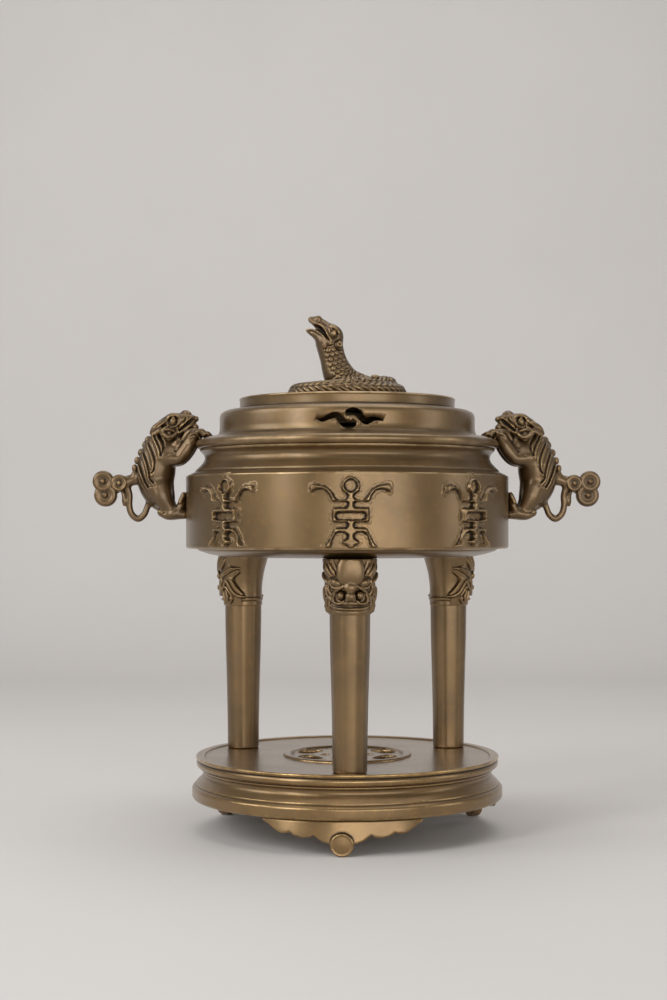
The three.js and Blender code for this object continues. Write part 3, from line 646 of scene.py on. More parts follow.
def capital():
    """The flared top of a leg with its mask: smooth forehead, almond eyes, curled nostrils, jaw and ears."""
    low, top = BOWL_FOOT - 35.4, BOWL_FOOT + 3.6
    clay = Clay((0, -22, low - 1), (20.4, 20, top + 1), 0.4)
    x, y, z = clay.sides[0][:, None, None], clay.sides[1][None, :, None], clay.sides[2][None, None, :]
    levels = (150, 152, 156, 163, 167, 173, 178, 184, 191)
    face_sizes = (13.5, 13.9, 14.6, 15.7, 16.1, 16.3, 16.5, 17.1, 17.5)
    back_sizes = (13.4, 13.4, 13.2, 13.3, 13.6, 14.5, 15.7, 17.4, 17.6)
    aside = np.degrees(np.arctan2(x, -y))
    ends = (154, 156.5, 159, 161.3, 164.3, 168.8, 171, 174, 177, 179, 184)
    edge = np.interp(z, ends, (118, 120, 124, 114, 104, 93, 98, 112, 110, 84, 76))
    share = np.clip((edge - aside) / 9 + 0.5, 0, 1)
    share = share * share * (3 - 2 * share)
    skin = np.interp(z, levels, back_sizes) * (1 - share) + np.interp(z, levels, face_sizes) * share
    clay.gap = np.maximum(np.maximum(np.hypot(x, y) - skin, low - z), z - top).astype(np.float32)

    def on(side, height, proud):
        """A spot on the mask: side in millimetres seen from the front, or in degrees round it from 20 on."""
        size = float(np.interp(height, levels, face_sizes))
        turn = math.radians(side) if side >= 20 else math.asin(min(side / size, 0.98))
        return [(size + proud) * math.sin(turn), -(size + proud) * math.cos(turn), height]

    def line(points, soft=0.4, hollow=False):
        clay.rope([on(*point[:3]) + [point[3]] for point in points], soft=soft, hollow=hollow)

    # forehead, with a groove beside it, and three locks of hair
    clay.ball(on(0, 179, -0.6), (8.6, 2.6, 10), soft=1.5)
    clay.ball(on(4, 175, -0.6), (4.6, 2.2, 5.6), tilt=-20, soft=1.5)
    line([(11, 185, 0.3, 0.8), (8.9, 180, 0.2, 0.9), (8.3, 176.4, 0.2, 0.8), (7, 173.6, 0.2, 0.6)], hollow=True)
    line([(13.4, 184.6, 0, 0.9), (11.8, 181, 0.7, 1.3), (10.4, 178, 0.8, 1.3), (9.4, 175.8, 0.3, 0.7)])
    line([(15.6, 184, 0, 0.9), (14.2, 180.6, 0.6, 1.3), (12.8, 177.6, 0.7, 1.2), (11.4, 175.2, 0.3, 0.6)])
    line([(74, 183, 0, 0.8), (66, 179.6, 0.6, 1.4), (57, 176.8, 0.5, 1.1), (50, 174.6, 0.2, 0.6)])
    line([(12.4, 184, 0.4, 0.35), (11, 179.6, 0.5, 0.4), (9.9, 176, 0.3, 0.3)], soft=0.2, hollow=True)
    line([(14.8, 183.4, 0.3, 0.35), (13.4, 179, 0.4, 0.4), (12, 175.8, 0.3, 0.3)], soft=0.2, hollow=True)
    # brow line, eye and lids
    line([(3.8, 170, 0.3, 0.6), (6.4, 173.2, 0.3, 0.8), (9.8, 174.4, 0.2, 0.8), (13.2, 173.4, 0.2, 0.6)], hollow=True)
    clay.ball(on(8.6, 170.9, 0.3), (4.5, 2.2, 3.1), tilt=18, soft=0.3, hollow=True)
    clay.ball(on(8.6, 170.9, -0.4), (3.8, 2.3, 2.6), tilt=18, soft=0.2)
    line([(4.2, 169.2, 0.3, 0.6), (7.2, 167.6, 0.4, 0.8), (10.6, 168, 0.3, 0.8), (13, 170.8, 0.2, 0.6)])
    # nose with its bridge and bulb, nostrils and their curls
    clay.ball(on(0, 167.8, 0.2), (4, 2.4, 3.4), soft=1.0)
    clay.ball(on(2.9, 168.6, 0.4), (1.5, 1.5, 1.3), soft=0.5)
    clay.ball(on(0, 162.4, 1.2), (3.5, 2.9, 3.1), soft=0.6)
    clay.ball(on(1.7, 160.4, 1.6), (1.7, 1.8, 1.5), soft=0.5)
    clay.ball(on(5.9, 163, 0), (3.4, 2.6, 3.5), soft=0.4, hollow=True)
    clay.ball(on(5.9, 163, 0.4), (2.4, 2.6, 2.5), soft=0.2)
    line([(4.4, 168.6, 0.3, 0.8), (7.4, 166.9, 0.2, 1.0), (9.8, 165.2, 0.1, 1.0), (11.8, 163, 0, 0.7)])
    line([(9.6, 163.6, 0.7, 0.7), (10.3, 161, 0.9, 0.9), (9.6, 158.9, 1.1, 0.9), (7.6, 157.9, 1.3, 0.9),
          (5.2, 158.2, 1.4, 0.8), (3.8, 159.6, 1.3, 0.6)], soft=0.25)
    # cheeks, upper lip, mouth, lower lip and chin
    line([(13, 172, 0.2, 0.7), (13.5, 168, 0.5, 1.0), (12.4, 164.8, 0.6, 1.0), (11.6, 162, 0.4, 0.6)])
    line([(70, 168, 0.1, 0.7), (62, 163.6, 0.5, 1.1), (50, 160.6, 0.6, 1.2), (40, 158.6, 0.5, 0.8)])
    line([(0, 158.2, 1, 1.2), (4, 158, 0.8, 1.0), (8.4, 157.9, 0.4, 0.8)])
    line([(0, 155.9, 0.9, 0.9), (5, 156, 0.7, 0.9), (9, 156.6, 0.5, 0.8), (13, 158.6, 0.3, 0.5)], soft=0.2, hollow=True)
    line([(0, 154.4, 0.6, 0.8), (5, 154.5, 0.6, 0.8), (9, 155, 0.5, 0.7), (12.2, 156.4, 0.4, 0.5)], soft=0.25)
    line([(0, 152.8, 0.3, 0.5), (5, 152.9, 0.3, 0.5), (9.6, 153.4, 0.2, 0.5), (11, 154.4, 0.1, 0.4)], soft=0.2, hollow=True)
    # ear, jaw and tusks on the side, and the band that runs on round the back
    line([(58, 170.4, 0, 0.7), (68, 172.6, 0.3, 1.3), (86, 175.4, 0.3, 1.6), (102, 176.8, 0.2, 1.1), (114, 177, 0, 0.5)])
    line([(72, 172.8, 1.4, 0.5), (86, 175.4, 1.7, 0.6), (98, 176.4, 1.1, 0.4)], soft=0.2, hollow=True)
    line([(84, 170.6, 0.2, 0.5), (95, 171.4, 0.3, 0.7), (106, 174, 0, 0.6)], soft=0.3, hollow=True)
    line([(70, 168.8, 0, 0.9), (79, 167, 0.3, 1.2), (87, 163.4, 0.3, 1.3), (96, 159.8, 0.2, 1.4),
          (110, 157.6, 0, 1.3), (126, 157, -0.4, 1.0)])
    line([(52, 159.6, 0.2, 0.6), (62, 163, 0.4, 0.7), (74, 163.4, 0.4, 0.8), (84, 159.6, 0.4, 0.7), (92, 156.8, 0.2, 0.6)])
    line([(58, 160.4, 0.2, 0.6), (60, 156, 0.5, 0.9), (62, 152, 0.2, 0.5)])
    line([(72, 161, 0.3, 0.8), (76, 156.6, 0.6, 1.2), (73, 152.2, 0.3, 0.5)])
    line([(66, 160.6, 0.5, 0.4), (67, 156.4, 0.5, 0.5), (68, 152.6, 0.3, 0.4)], soft=0.2, hollow=True)
    clay.ball(on(88, 156, 0.2), (1.6, 1.6, 1.6), soft=0.3)
    line([(80, 152.6, 0.4, 1.0), (86, 153.6, 0.5, 1.1), (90, 155.6, 0.3, 1.2)])
    band = np.abs(z - 155.4) - 1.0
    hoop = np.maximum(np.hypot(x, y) - 13.9, np.maximum(band, 90 - aside))
    clay.gap = softer_min(clay.gap, hoop, 0.6)
    clay.gap = np.concatenate([clay.gap[:0:-1], clay.gap], axis=0)
    clay.sides[0] = np.concatenate([-clay.sides[0][:0:-1], clay.sides[0]])
    under_bowl = clay.sides[2][None, None, :] - BOWL_FOOT + 0.1
    clay.gap = np.maximum(clay.gap, under_bowl).astype(np.float32)
    return clay.surface(0.55).moved(0, -LEG_CIRCLE, 0)


# Lid: two steps, hollow, with cloud piercings

CLOUD = (
    [(-21.5, 0, .3), (-18, -.7, 1.3), (-14, .8, 1.7), (-10, 2.2, 2), (-7, 1, 2.2), (-4.4, -2.2, 2.4),
     (-1.4, -4, 2.6), (1.8, -3.2, 2.3), (3, -1.4, 1.2)],
    [(-2.4, 2.4, 1.2), (-1, 3.8, 2.3), (2, 4.6, 2.6), (5.4, 3.2, 2.4), (7.4, .6, 2.1), (10.4, -1.4, 2.2),
     (14, -.3, 1.7), (17.6, 0, 1.2), (21.5, -1, .4)],
)


def lid_work():
    foot, top = LID_FOOT, CROWN_TOP
    step = foot + 20.2
    return lathed([
        (0, top, 0), (60, top - 0.1, 8), (73.2, top, 0.7), (74, top - 0.8, 0.5), (73.5, top - 1.6, 0.4),
        (73.3, step + 1.4, 0.4), (74.6, step, 0.5), (83.2, step - 0.1, 1.2), (86.6, step - 2.2, 2.2),
        (87.2, step - 5, 1), (87.2, foot + 7, 1), (88.2, foot + 3.4, 1.4), (91.4, foot + 2.3, 0.8),
        (92.5, foot + 1.4, 0.5), (92.5, foot, 0.3), (86, foot, 0.3), (86, foot - 5.8, 0.5), (83.4, foot - 5.8, 0.5),
        (83.4, step - 3.6, 2), (70.4, step - 3.6, 0.5), (70.4, top - 3.6, 1), (0, top - 3.6, 0),
    ], 180, 0.05)


def strand(line, steps=6):
    """Closed outline of a tapering strand of cloud."""
    run = through(line, steps)
    along = np.gradient(run[:, :2], axis=0)
    along /= np.hypot(*along.T)[:, None]
    side = np.stack([-along[:, 1], along[:, 0]], 1) * run[:, 2:]
    return np.vstack([run[:, :2] + side, (run[:, :2] - side)[::-1]])


def pierced_lid():
    """The lid with a cloud cut through its side at the front and at each third of a turn."""
    whole = lid_work()
    blank = piece("lid_blank", [whole], bowl_bronze, "bowl_bronze")
    tools, beads = [], []
    radius, middle = 87.2, LID_FOOT + 10.1
    for line in CLOUD:
        outline = strand(line)
        angle = outline[:, 0] / radius
        count = len(outline)
        for turn in THIRDS:
            corners = []
            for out in (radius + 3, 70.0):
                corners.append(np.stack([out * np.sin(angle), -out * np.cos(angle), middle + outline[:, 1]], 1))
            mesh = bpy.data.meshes.new("cloud_tool")
            rim = list(range(count))
            walls = [[i, (i + 1) % count, count + (i + 1) % count, count + i] for i in range(count)]
            both = Form(np.vstack(corners), None, None, None)
            x, y, z = both.corners.T
            a = math.radians(turn)
            spun = np.stack([x * math.cos(a) - y * math.sin(a), x * math.sin(a) + y * math.cos(a), z], 1)
            mesh.from_pydata((spun * MM).tolist(), [], walls + [rim[::-1], [count + i for i in rim]])
            mesh.update()
            tool = bpy.data.objects.new("cloud_tool", mesh)
            bpy.context.scene.collection.objects.link(tool)
            tools.append(tool)
    for tool in tools:
        cut = blank.modifiers.new("cloud", "BOOLEAN")
        cut.operation, cut.object, cut.solver = "DIFFERENCE", tool, "EXACT"
    bpy.context.view_layer.update()
    graph = bpy.context.evaluated_depsgraph_get()
    mesh = bpy.data.meshes.new_from_object(blank.evaluated_get(graph))
    for spare in [blank, *tools]:
        bpy.data.objects.remove(spare)
    return mesh


# Lion: climbs the bowl with its head and paws at the rim and its tail curled outwards

def lion():
    clay = Clay((-175, 0, 206), (-89, 15.5, 288), 0.45)
    # trunk, from the neck down to the haunches
    clay.rope([(-127.2, 0, 267.6, 4), (-128.8, 0, 262.1, 8.4), (-129.4, 0, 256.6, 10.9), (-130, 0, 251.1, 12.2), (-130.3, 0, 245.6, 13.1),
               (-130.9, 0, 238.2, 12.6), (-129.6, 0, 232.1, 11.4), (-126.9, 0, 226, 9.2), (-123.7, 0, 221.1, 6)], soft=2, broad=0.93)
    clay.rope([(-122.8, 0, 267, 3.5), (-120.9, 0, 262.1, 4.2), (-120.9, 0, 256.6, 6)], soft=4, broad=1.5)
    clay.ball((-115.6, 0, 261.6), (6.2, 8.6, 7.4), soft=2)
    clay.ball((-119, 0, 256), (7, 9.6, 6), soft=3)
    clay.ball((-122.1, 7.6, 269.6), (2.8, 1.9, 2.4), soft=1)
    # head
    clay.ball((-120, 0, 276.1), (7.6, 9.4, 6.8), tilt=25, soft=2)
    clay.ball((-125.8, 0, 273.7), (7.2, 8.4, 5.4), tilt=38, soft=3)
    clay.rope([(-119.4, 0, 280.4, 3), (-114.8, 0, 280.3, 3.4), (-110.5, 0, 281.6, 3)], soft=3, broad=1.7)
    clay.ball((-113.3, 0, 276.1), (7.4, 7.0, 5.0), tilt=33, soft=2)
    clay.ball((-110.5, 0, 282.3), (3.9, 4.8, 3.6), tilt=10, soft=0.5)
    clay.rope([(-111.1, 2, 279.8, 3), (-106.9, 2, 280.3, 2.6), (-104.4, 1.5, 279.8, 1.9)], soft=1.5, broad=1.5)
    clay.rope([(-117.9, 2, 269.4, 3.4), (-111.8, 2, 272.2, 3.0), (-106.9, 2, 275.2, 2.2), (-104.5, 1, 275.6, 1.6)], soft=1.2, broad=1.6)
    clay.ball((-104.1, 2.2, 274.2), (2.5, 2.2, 2.4), soft=0.4)
    clay.ball((-103.1, 2.4, 279.9), (1.5, 1.7, 1.9), soft=0.5)
    clay.ball((-106.4, 1.6, 277.3), (3.2, 3.2, 2.8), tilt=30, soft=0.8)
    # nostril, brow, eye, ear and cheek on each side
    clay.ball((-108.4, 3.4, 283.2), (1.9, 1.5, 1.6), tilt=20, soft=0.5)
    clay.rope([(-122.8, 8.2, 278, 0.8), (-121.2, 8.0, 280.7, 1.3), (-118.2, 7.2, 281.9, 1.4), (-114.8, 6.4, 281.1, 1.2),
               (-113.3, 6.2, 278.6, 0.7)], soft=0.6)
    clay.ball((-118.5, 8.0, 277.7), (2.5, 1.9, 3.1), tilt=-14, soft=0.3)
    clay.rope([(-123.1, 9, 278, 0.9), (-127, 9.6, 275.8, 1.9), (-130.7, 9.4, 272.8, 2.2), (-133.5, 8.4, 269.7, 1.0)], soft=0.8)
    clay.rope([(-121.8, 9.4, 274.9, 0.8), (-125.8, 10, 272.2, 1.6), (-130.7, 9.4, 269.1, 1.7), (-132.8, 8.6, 268.5, 0.8)], soft=0.6)
    clay.rope([(-117.9, 8.0, 271.2, 0.8), (-122.1, 9.4, 272.2, 1.4), (-125.5, 9.8, 271.2, 1.7), (-124.6, 9.6, 268.5, 2.1),
               (-120.9, 8.6, 266.5, 2.0), (-116.9, 7.4, 268.8, 1.2)], soft=0.7)
    # arm: shoulder, elbow, forearm, paw with three toes
    clay.rope([(-127.6, 6, 253.5, 6.0), (-120.9, 7.5, 252.6, 5.4), (-114.8, 8.2, 252.6, 4.6), (-110.5, 8.2, 257.2, 5.0),
               (-106.6, 8, 263.3, 4.7), (-105.3, 8, 267, 4.0), (-102.3, 7.8, 269.1, 3.4)], soft=2.5, broad=0.95)
    clay.rope([(-111.8, 6.8, 265.7, 1.4), (-108.7, 6.8, 270, 1.7), (-104.7, 7, 271.5, 1.8), (-101.1, 7.2, 270.9, 1.6)], soft=1.0)
    clay.rope([(-108.4, 11, 264.5, 0.6), (-106.6, 11.4, 268.1, 0.9), (-103.5, 11.4, 269.4, 1.0), (-100.7, 11, 267.9, 0.9),
               (-100.1, 10.4, 265.7, 0.5)], soft=0.5)
    for y in (4.6, 7.8, 11):
        clay.rope([(-101.7, y, 270.3, 1.9), (-98.6, y, 270.7, 2.0), (-97.4, y, 268.5, 1.8)], soft=0.4)
        clay.rope([(-97.7, y, 269.4, 1.6), (-94.9, y, 269.3, 1.7), (-93.7, y, 268.1, 1.3)], soft=0.4)
    # leg: thigh, heel, foot and toes set against the wall
    clay.rope([(-127.6, 7, 232.1, 7.4), (-125.8, 8, 226.6, 6.8), (-122.8, 8.4, 221.1, 5.2), (-119.4, 8.4, 216.8, 4.0)], soft=2.5, broad=0.8)
    clay.rope([(-126.4, 8.4, 215.6, 2.6), (-121.5, 8.4, 214.1, 3.4), (-116, 8.4, 214.7, 3.6), (-111.1, 8.4, 214.4, 3.0)], soft=1.5,
              broad=1.2)
    clay.rope([(-117.9, 8.4, 215.3, 3.2), (-113.9, 8.4, 218.7, 3.0), (-112.1, 8.4, 223, 2.6), (-111.3, 8.4, 226, 2.2)], soft=1.5,
              broad=1.3)
    clay.ball((-126.3, 9.6, 216.1), (2.5, 2.4, 2.3), soft=0.5)
    for y in (5.4, 8.4, 11.4):
        clay.rope([(-113.3, y, 223, 1.6), (-111.6, y, 226.6, 1.7), (-111, y, 228.6, 1.2)], soft=0.4)
    # scalloped ridge along the back
    for x0, z0 in ((-135.5, 265.7), (-137.4, 262.3), (-140.4, 256.9), (-142.8, 251.4), (-144.5, 246.1), (-144.6, 241.9)):
        clay.ball((x0 - 0.7, 0, z0), (2.0, 2.4, 2.7), tilt=-28 + (266 - z0) * 1.4, soft=0.3)
    # tail: stem, plate with three curled discs, hanging loop with a leaf
    clay.rope([(-140.5, 0, 239.5, 4.6), (-144.8, 0, 238.5, 4.0), (-148.1, 0, 237.6, 3.9), (-151.8, 0, 236.1, 4.4), (-155.2, 0, 235.2, 4.0)], soft=1.6,
              broad=0.8)
    clay.rope([(-150.3, 0, 232.7, 2.6), (-148.7, 0, 227.2, 2.2), (-148.9, 0, 220.5, 2.2), (-147.2, 0, 214.7, 2.2), (-142.9, 0, 211.6, 2.3),
               (-138.8, 0, 214.4, 2.2), (-136.8, 0, 219, 2.1), (-134.7, 0, 224.2, 2.4)], soft=1.4)
    clay.rope([(-153.2, 0, 229.4, 1.2), (-152, 0, 226.6, 1.9), (-151.6, 0, 223.6, 2.3), (-152.1, 0, 221.4, 1.4)], soft=0.6, broad=1.1)
    clay.rope([(-163, 0, 234, 3.2), (-160.4, 0, 231.4, 3.2), (-157.4, 0, 231.6, 2.8)], soft=1.5, broad=0.9)
    for x0, z0, radius, level in ((-166.5, 237.1, 7.3, 3.6), (-164.9, 227.7, 7.9, 3.2), (-155.6, 235.9, 5.9, 3.9)):
        cut, x, y, z = clay.near((x0 - 12, -1, z0 - 12), (x0 + 12, 9, z0 + 12))
        away = np.hypot(x - x0, z - z0)
        wave = 0.42 * np.cos(np.minimum(away, radius) / radius * TURN * 1.3)
        dome = y - level - wave + 0.9 * (away / radius) ** 4
        clay.add(cut, -softer_min(-(away - radius), -dome, 1.2), 0.5)
        clay.ball([x0, level, z0], (1.7, 1.5, 1.7), soft=0.4)
    # locks of the mane, wrinkles and creases, drawn from the side
    locks = [
        [(-131.3, 267.6),(-128.9, 263.3),(-127, 258.4),(-126.5, 255.2)],
        [(-133.8, 267),(-130.7, 261.5),(-128.9, 256),(-128.6, 251.1),(-129.8, 246.8)],
        [(-135.6, 263.3),(-132.5, 257.2),(-130.7, 251.1),(-131, 245.6),(-132.5, 242.5)],
        [(-137.1, 259.6),(-134.4, 253.5),(-132.8, 247.4),(-133.5, 242.5),(-133.1, 239.5)],
        [(-139, 256.6),(-136.2, 249.8),(-134.7, 243.7),(-134.1, 238.8),(-131.6, 235.8)],
        [(-140.5, 253.5),(-138, 246.8),(-136.5, 241.3),(-135.3, 237),(-133.1, 234.6)],
        [(-142.2, 249.8),(-140.2, 243.7),(-138, 238.2),(-135.3, 232.7)],
        [(-143.5, 245.6),(-141.7, 240.1),(-139.6, 235.2),(-136.8, 231.5)],
        [(-128.3, 268.5),(-125.3, 263.9),(-124.9, 259.6),(-126.4, 254.7)],
    ]
    lines = [(line, 0.7, 0.9) for line in locks[::2] + locks[-1:]]
    crests = [
        [(-132.4, 267),(-129.8, 262.1),(-127.9, 257.2),(-127.5, 252.6)],
        [(-134.7, 265.1),(-131.6, 259.3),(-129.8, 253.5),(-129.8, 248.6),(-131.2, 244.6)],
        [(-136.3, 261.5),(-133.5, 255.3),(-131.8, 249.2),(-132.2, 244),(-132.8, 241)],
        [(-138, 258.1),(-135.3, 251.7),(-133.8, 245.6),(-133.8, 240.7),(-132.4, 237.6)],
        [(-139.7, 255),(-137.1, 248.3),(-135.6, 242.5),(-134.7, 237.9),(-132.4, 235.2)],
        [(-141.3, 251.7),(-139.1, 245.3),(-137.3, 239.8),(-135.3, 234.9)],
        [(-142.9, 247.7),(-141, 241.9),(-138.8, 236.7),(-136.1, 232.1)],
    ]
    lines += [(line, 1.1, -0.7) for line in crests[::2]] + [(line, 0.5, 0.45) for line in locks[1::2]]
    marks = clay.side_marks(lines)
    face = clay.side_marks([
        ([(-120, 280.3),(-121, 278),(-120.4, 275.2),(-118.8, 274.8),(-116.6, 275.8),(-115.9, 278.6),(-116.9, 280.5)], 0.5, 0.9),
        ([(-124.3, 278),(-126.7, 276.4),(-128.9, 274.4)], 0.5, 0.8),
        ([(-122.6, 274.8),(-124.6, 274),(-126.9, 272.2)], 0.45, 0.8),
        ([(-114.9, 273.6),(-113, 276.4),(-110.8, 278.1),(-109.8, 280.3)], 0.5, 0.7),
        ([(-115.7, 272.8),(-112.4, 275.2),(-109.3, 278),(-106.3, 280.3)], 0.5, -0.35),
        ([(-114.1, 271.7),(-111.1, 274.2),(-107.9, 277.1),(-105.4, 278.8)], 0.55, 2.2),
        ([(-125.2, 267.6),(-122.8, 265.7),(-119.4, 265.9)], 0.5, 0.5),
    ])
    small = clay.side_marks([
        ([(-133.9, 233),(-132.7, 233.5)], 0.45, 0.5), ([(-130.7, 234.1),(-129.8, 233.6)], 0.45, 0.5),
        ([(-121.2, 254.1),(-119.4, 255.2)], 0.5, 0.4), ([(-117.3, 257.2),(-116, 257.7)], 0.45, 0.4),
        ([(-124.6, 215.3),(-123.7, 215.7)], 0.4, 0.6),
        ([(-100.1, 270.3),(-100.6, 268.5),(-100.1, 266.7)], 0.45, 0.6), ([(-107.5, 262.1),(-104.4, 265.7)], 0.6, -0.3),
    ])
    y = clay.sides[1][None, :, None]
    beyond = np.clip((y - 3.0) / 2.5, 0, 1)
    clay.gap += marks[:, None, :] * np.clip((y - 1.5) / 2.5, 0, 1) + (face[:, None, :] + small[:, None, :]) * beyond
    clay.gap = clay.gap.astype(np.float32)
    clay.both_halves()
    return clay.surface(0.68)


# Snake: a braided coil on the crown, with the neck reared up and the mouth open

def snake():
    base, tube, turns = SNAKE_LOW[2], 6.2, 1.7
    reared = 33.8
    clay = Clay((-43, -42, base - 1), (43, 42, base + 57.5), 0.5)
    x, y, z = clay.sides[0][:, None, None], clay.sides[1][None, :, None], clay.sides[2][None, None, :12 * 2 + 14]
    away, turn = np.hypot(x, y), (np.arctan2(y, x) / TURN + 0.42) % 1
    block = (slice(None), slice(None), slice(0, 12 * 2 + 14))
    for wrap in (0, 1):
        share = turn + wrap
        rise = np.clip((share - 1.02) / 0.38, 0, 1)
        centre = reared * (1 - 0.44 * np.maximum(share - 1, 0))
        height = base + 0.72 * tube + 5 * rise * rise * (3 - 2 * rise)
        girth = tube * np.clip(0.3 + 2.2 * share, 0, 1) * np.sqrt(np.clip((turns + 0.02 - share) * 9, 0, 1))
        out, over = away - centre, (z - height) / 0.8
        lean = np.arctan2(over, out) - 0.4
        lean = np.abs((lean + math.pi) % TURN - math.pi)
        along = share * TURN * reared
        chevron = 0.5 - 0.5 * np.cos(((along - 0.85 * lean * tube) / 4.7) % 1 * TURN)
        seam = np.exp(-(lean * tube / 0.7) ** 2)
        plait = (0.95 * chevron ** 0.6 - 0.6 * seam) * np.clip((2.3 - lean) * 2, 0, 1) - 0.35
        gap = (np.hypot(out, over) - girth - plait * np.clip(girth / 4, 0, 1)) * 0.85
        gap = np.where(share > turns, 6, gap)
        clay.add(block, gap.astype(np.float32), 0.8)
    clay.ball((0, 0, base + 4), (31, 31, 4.2), soft=2)
    for k in range(5):
        share = 1.27 + 0.052 * k
        angle = TURN * (share - 0.42)
        radius = reared * (1 - 0.44 * (share - 1)) + 1
        clay.ball((radius * math.cos(angle), radius * math.sin(angle), base + 12.6), (3.1, 3.1, 1.9), soft=0.5)
    # neck, skull and the two jaws
    spine = [(14.8, 0, 304, 5), (7.8, 0, 304.6, 7), (0.5, 0, 305.9, 9), (-4.9, 0, 309.1, 10.6), (-7.8, 0, 314.8, 9.7), (-9.6, 0, 320.5, 8.9), (-11.1, 0, 326.2, 8.9),
             (-12.1, 0, 331.2, 9.2), (-11.4, 0, 335.8, 8.9)]
    clay.rope(spine, soft=1.5, broad=0.96)
    clay.rope([(-11.2, 0, 337.4, 7.2), (-15, 0, 341.2, 5.4), (-18.5, 0, 344.7, 4.2), (-21.6, 0, 346.7, 3.3), (-24.5, 0, 347.8, 2.3)], soft=1.5,
              broad=1.15)
    clay.rope([(-14, 0, 331.9, 7.2), (-17.5, 0, 335.5, 5.0), (-21.6, 0, 337.9, 3.1), (-25.1, 0, 339.3, 1.9), (-27.2, 0, 340.2, 1.0)], soft=1.5,
              broad=1.25)
    for side in (-1, 1):
        clay.ball((-19.9, 2.4 * side, 348.2), (2.6, 2.2, 2.3), soft=0.8)
        clay.rope([(-13.3, 4.5 * side, 342.5, 1.2), (-10.7, 5.6 * side, 342.8, 1.6), (-7.6, 7*side, 340.6, 1.5), (-5.8, 7.6 * side, 337.9, 0.8)], soft=0.8)
        clay.rope([(-25.9, 1.6 * side, 348.2, 0.9), (-22.6, 3.6 * side, 345.4, 1.1), (-17.8, 5.2 * side, 343.4, 1.15),
                   (-15.2, 6.8 * side, 340.2, 1.15), (-13.5, 8 * side, 336.4, 1.1), (-11.1, 8.6 * side, 332.5, 0.8)], soft=0.5)
        clay.rope([(-27.6, 0.8 * side, 340.7, 0.8), (-24.2, 3.2 * side, 340.9, 1.0), (-20.2, 5.2 * side, 339.2, 1.1),
                   (-16.4, 7 * side, 336, 1.1), (-14.3, 8.2 * side, 332.8, 1.0), (-11.5, 8.8 * side, 330.6, 0.7)], soft=0.5)
        clay.ball((-14, 8.3 * side, 334), (0.85, 0.9, 0.85), soft=0.2)
        clay.ball((-13.2, 8.8 * side, 331.9), (0.85, 0.9, 0.85), soft=0.2)
        clay.ball((-8.8, 7.9 * side, 337.7), (1.7, 1.6, 2.9), tilt=-22, soft=0.3)
        clay.ball((-5.5, 7.2 * side, 330.2), (2.1, 1.6, 2.3), soft=0.3)
    u, w = clay.sides[0][:, None], clay.sides[2][None, :]
    opening = [(-29.2, 341.9), (-28, 343.4), (-24.2, 343.9), (-21, 343.4), (-17.8, 342.1), (-15.7, 339.5), (-14.3, 336.3), (-12.3, 333.1), (-14.3, 334.3), (-16.6, 337.2), (-20.1, 340.1), (-24.2, 341.9), (-27.3, 341.5)]
    mouth = outline_gap(u, w, [np.array(opening, float)])
    recess = 3.4 * np.clip(0.5 - mouth / 0.9, 0, 1)
    # scales in staggered rows along the neck
    run = through(spine, 6)[:, [0, 2]]
    lengths = np.concatenate([[0], np.cumsum(np.hypot(*np.diff(run, axis=0).T))])
    nearest = np.full((len(u), w.shape[1]), 1e3)
    along, across = np.zeros_like(nearest), np.zeros_like(nearest)
    for start, end, length in zip(run, run[1:], lengths):
        step = end - start
        size = np.hypot(*step) + 1e-9
        share = np.clip(((u - start[0]) * step[0] + (w - start[1]) * step[1]) / size ** 2, 0, 1)
        gap = np.hypot(u - start[0] - share * step[0], w - start[1] - share * step[1])
        closer = gap < nearest
        nearest = np.where(closer, gap, nearest)
        along = np.where(closer, length + share * size, along)
        side = ((u - start[0]) * step[1] - (w - start[1]) * step[0]) / size
        across = np.where(closer, side, across)
    row = np.floor(along / 3.1)
    up = along - row * 3.1
    left = ((across / 3.9 + 0.5 * (row % 2)) % 1 - 0.5) * 3.9
    bowl = np.hypot(left, up - 2.3)
    scale = 0.75 * np.exp(-((bowl - 2.05) / 0.42) ** 2) * (up < 2.5) - 0.2 * (bowl < 1.6)
    covered = np.clip((across + 5.5) / 2, 0, 1) * np.clip((330.0 - w - 0.35 * (u + 12)) / 3, 0, 1) * (w > base + 9)
    face = clay.side_marks([
        ([(-10.7, 339.8), (-11.5, 337.6), (-10.1, 334.7), (-8, 334.4), (-6.9, 336.9), (-8, 339.8), (-9.9, 340.9)], 0.5, 0.8),
        ([(-13.3, 340.7), (-12.5, 338.2), (-10.9, 336.3)], 0.45, 0.6),
        ([(-5.5, 333.4), (-8, 331.9), (-8.5, 329.3), (-6.9, 326.8), (-4.4, 326.3), (-2.5, 327.4)], 0.5, 0.9),
        ([(-5.5, 333.4), (-3.6, 333.1), (-2.3, 331.9)], 0.5, 0.9),
        ([(-5.2, 330.6), (-5, 330.2)], 0.7, 1.2),
        ([(-19.7, 345.8), (-16.6, 344.2), (-14, 342.6)], 0.5, 0.5),
        ([(-14, 329.3), (-11.5, 328.7), (-9.6, 329.7)], 0.5, 0.5),
    ])
    y = np.abs(clay.sides[1])[None, :, None]
    clay.gap += (scale * covered)[:, None, :] * np.clip((y - 1.5) / 1.5, 0, 1) * (nearest < 14)[:, None, :]
    clay.gap += face[:, None, :] * np.clip((y - 3) / 2, 0, 1)
    clay.gap = np.maximum(clay.gap, (recess[:, None, :] * np.clip((y - 1.2) / 1.2, 0, 1) + clay.gap * (mouth < 2)[:, None, :] - 2e3 * (mouth >= 2)[:, None, :]))
    clay.gap = np.maximum(clay.gap, base - clay.sides[2][None, None, :]).astype(np.float32)
    return clay.surface(0.68)


# Building

clouds = pierced_lid()
lid_body = bpy.data.objects.new("lid_cast", clouds)
bpy.context.scene.collection.objects.link(lid_body)
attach(lid_body, "root")
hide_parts("lid")

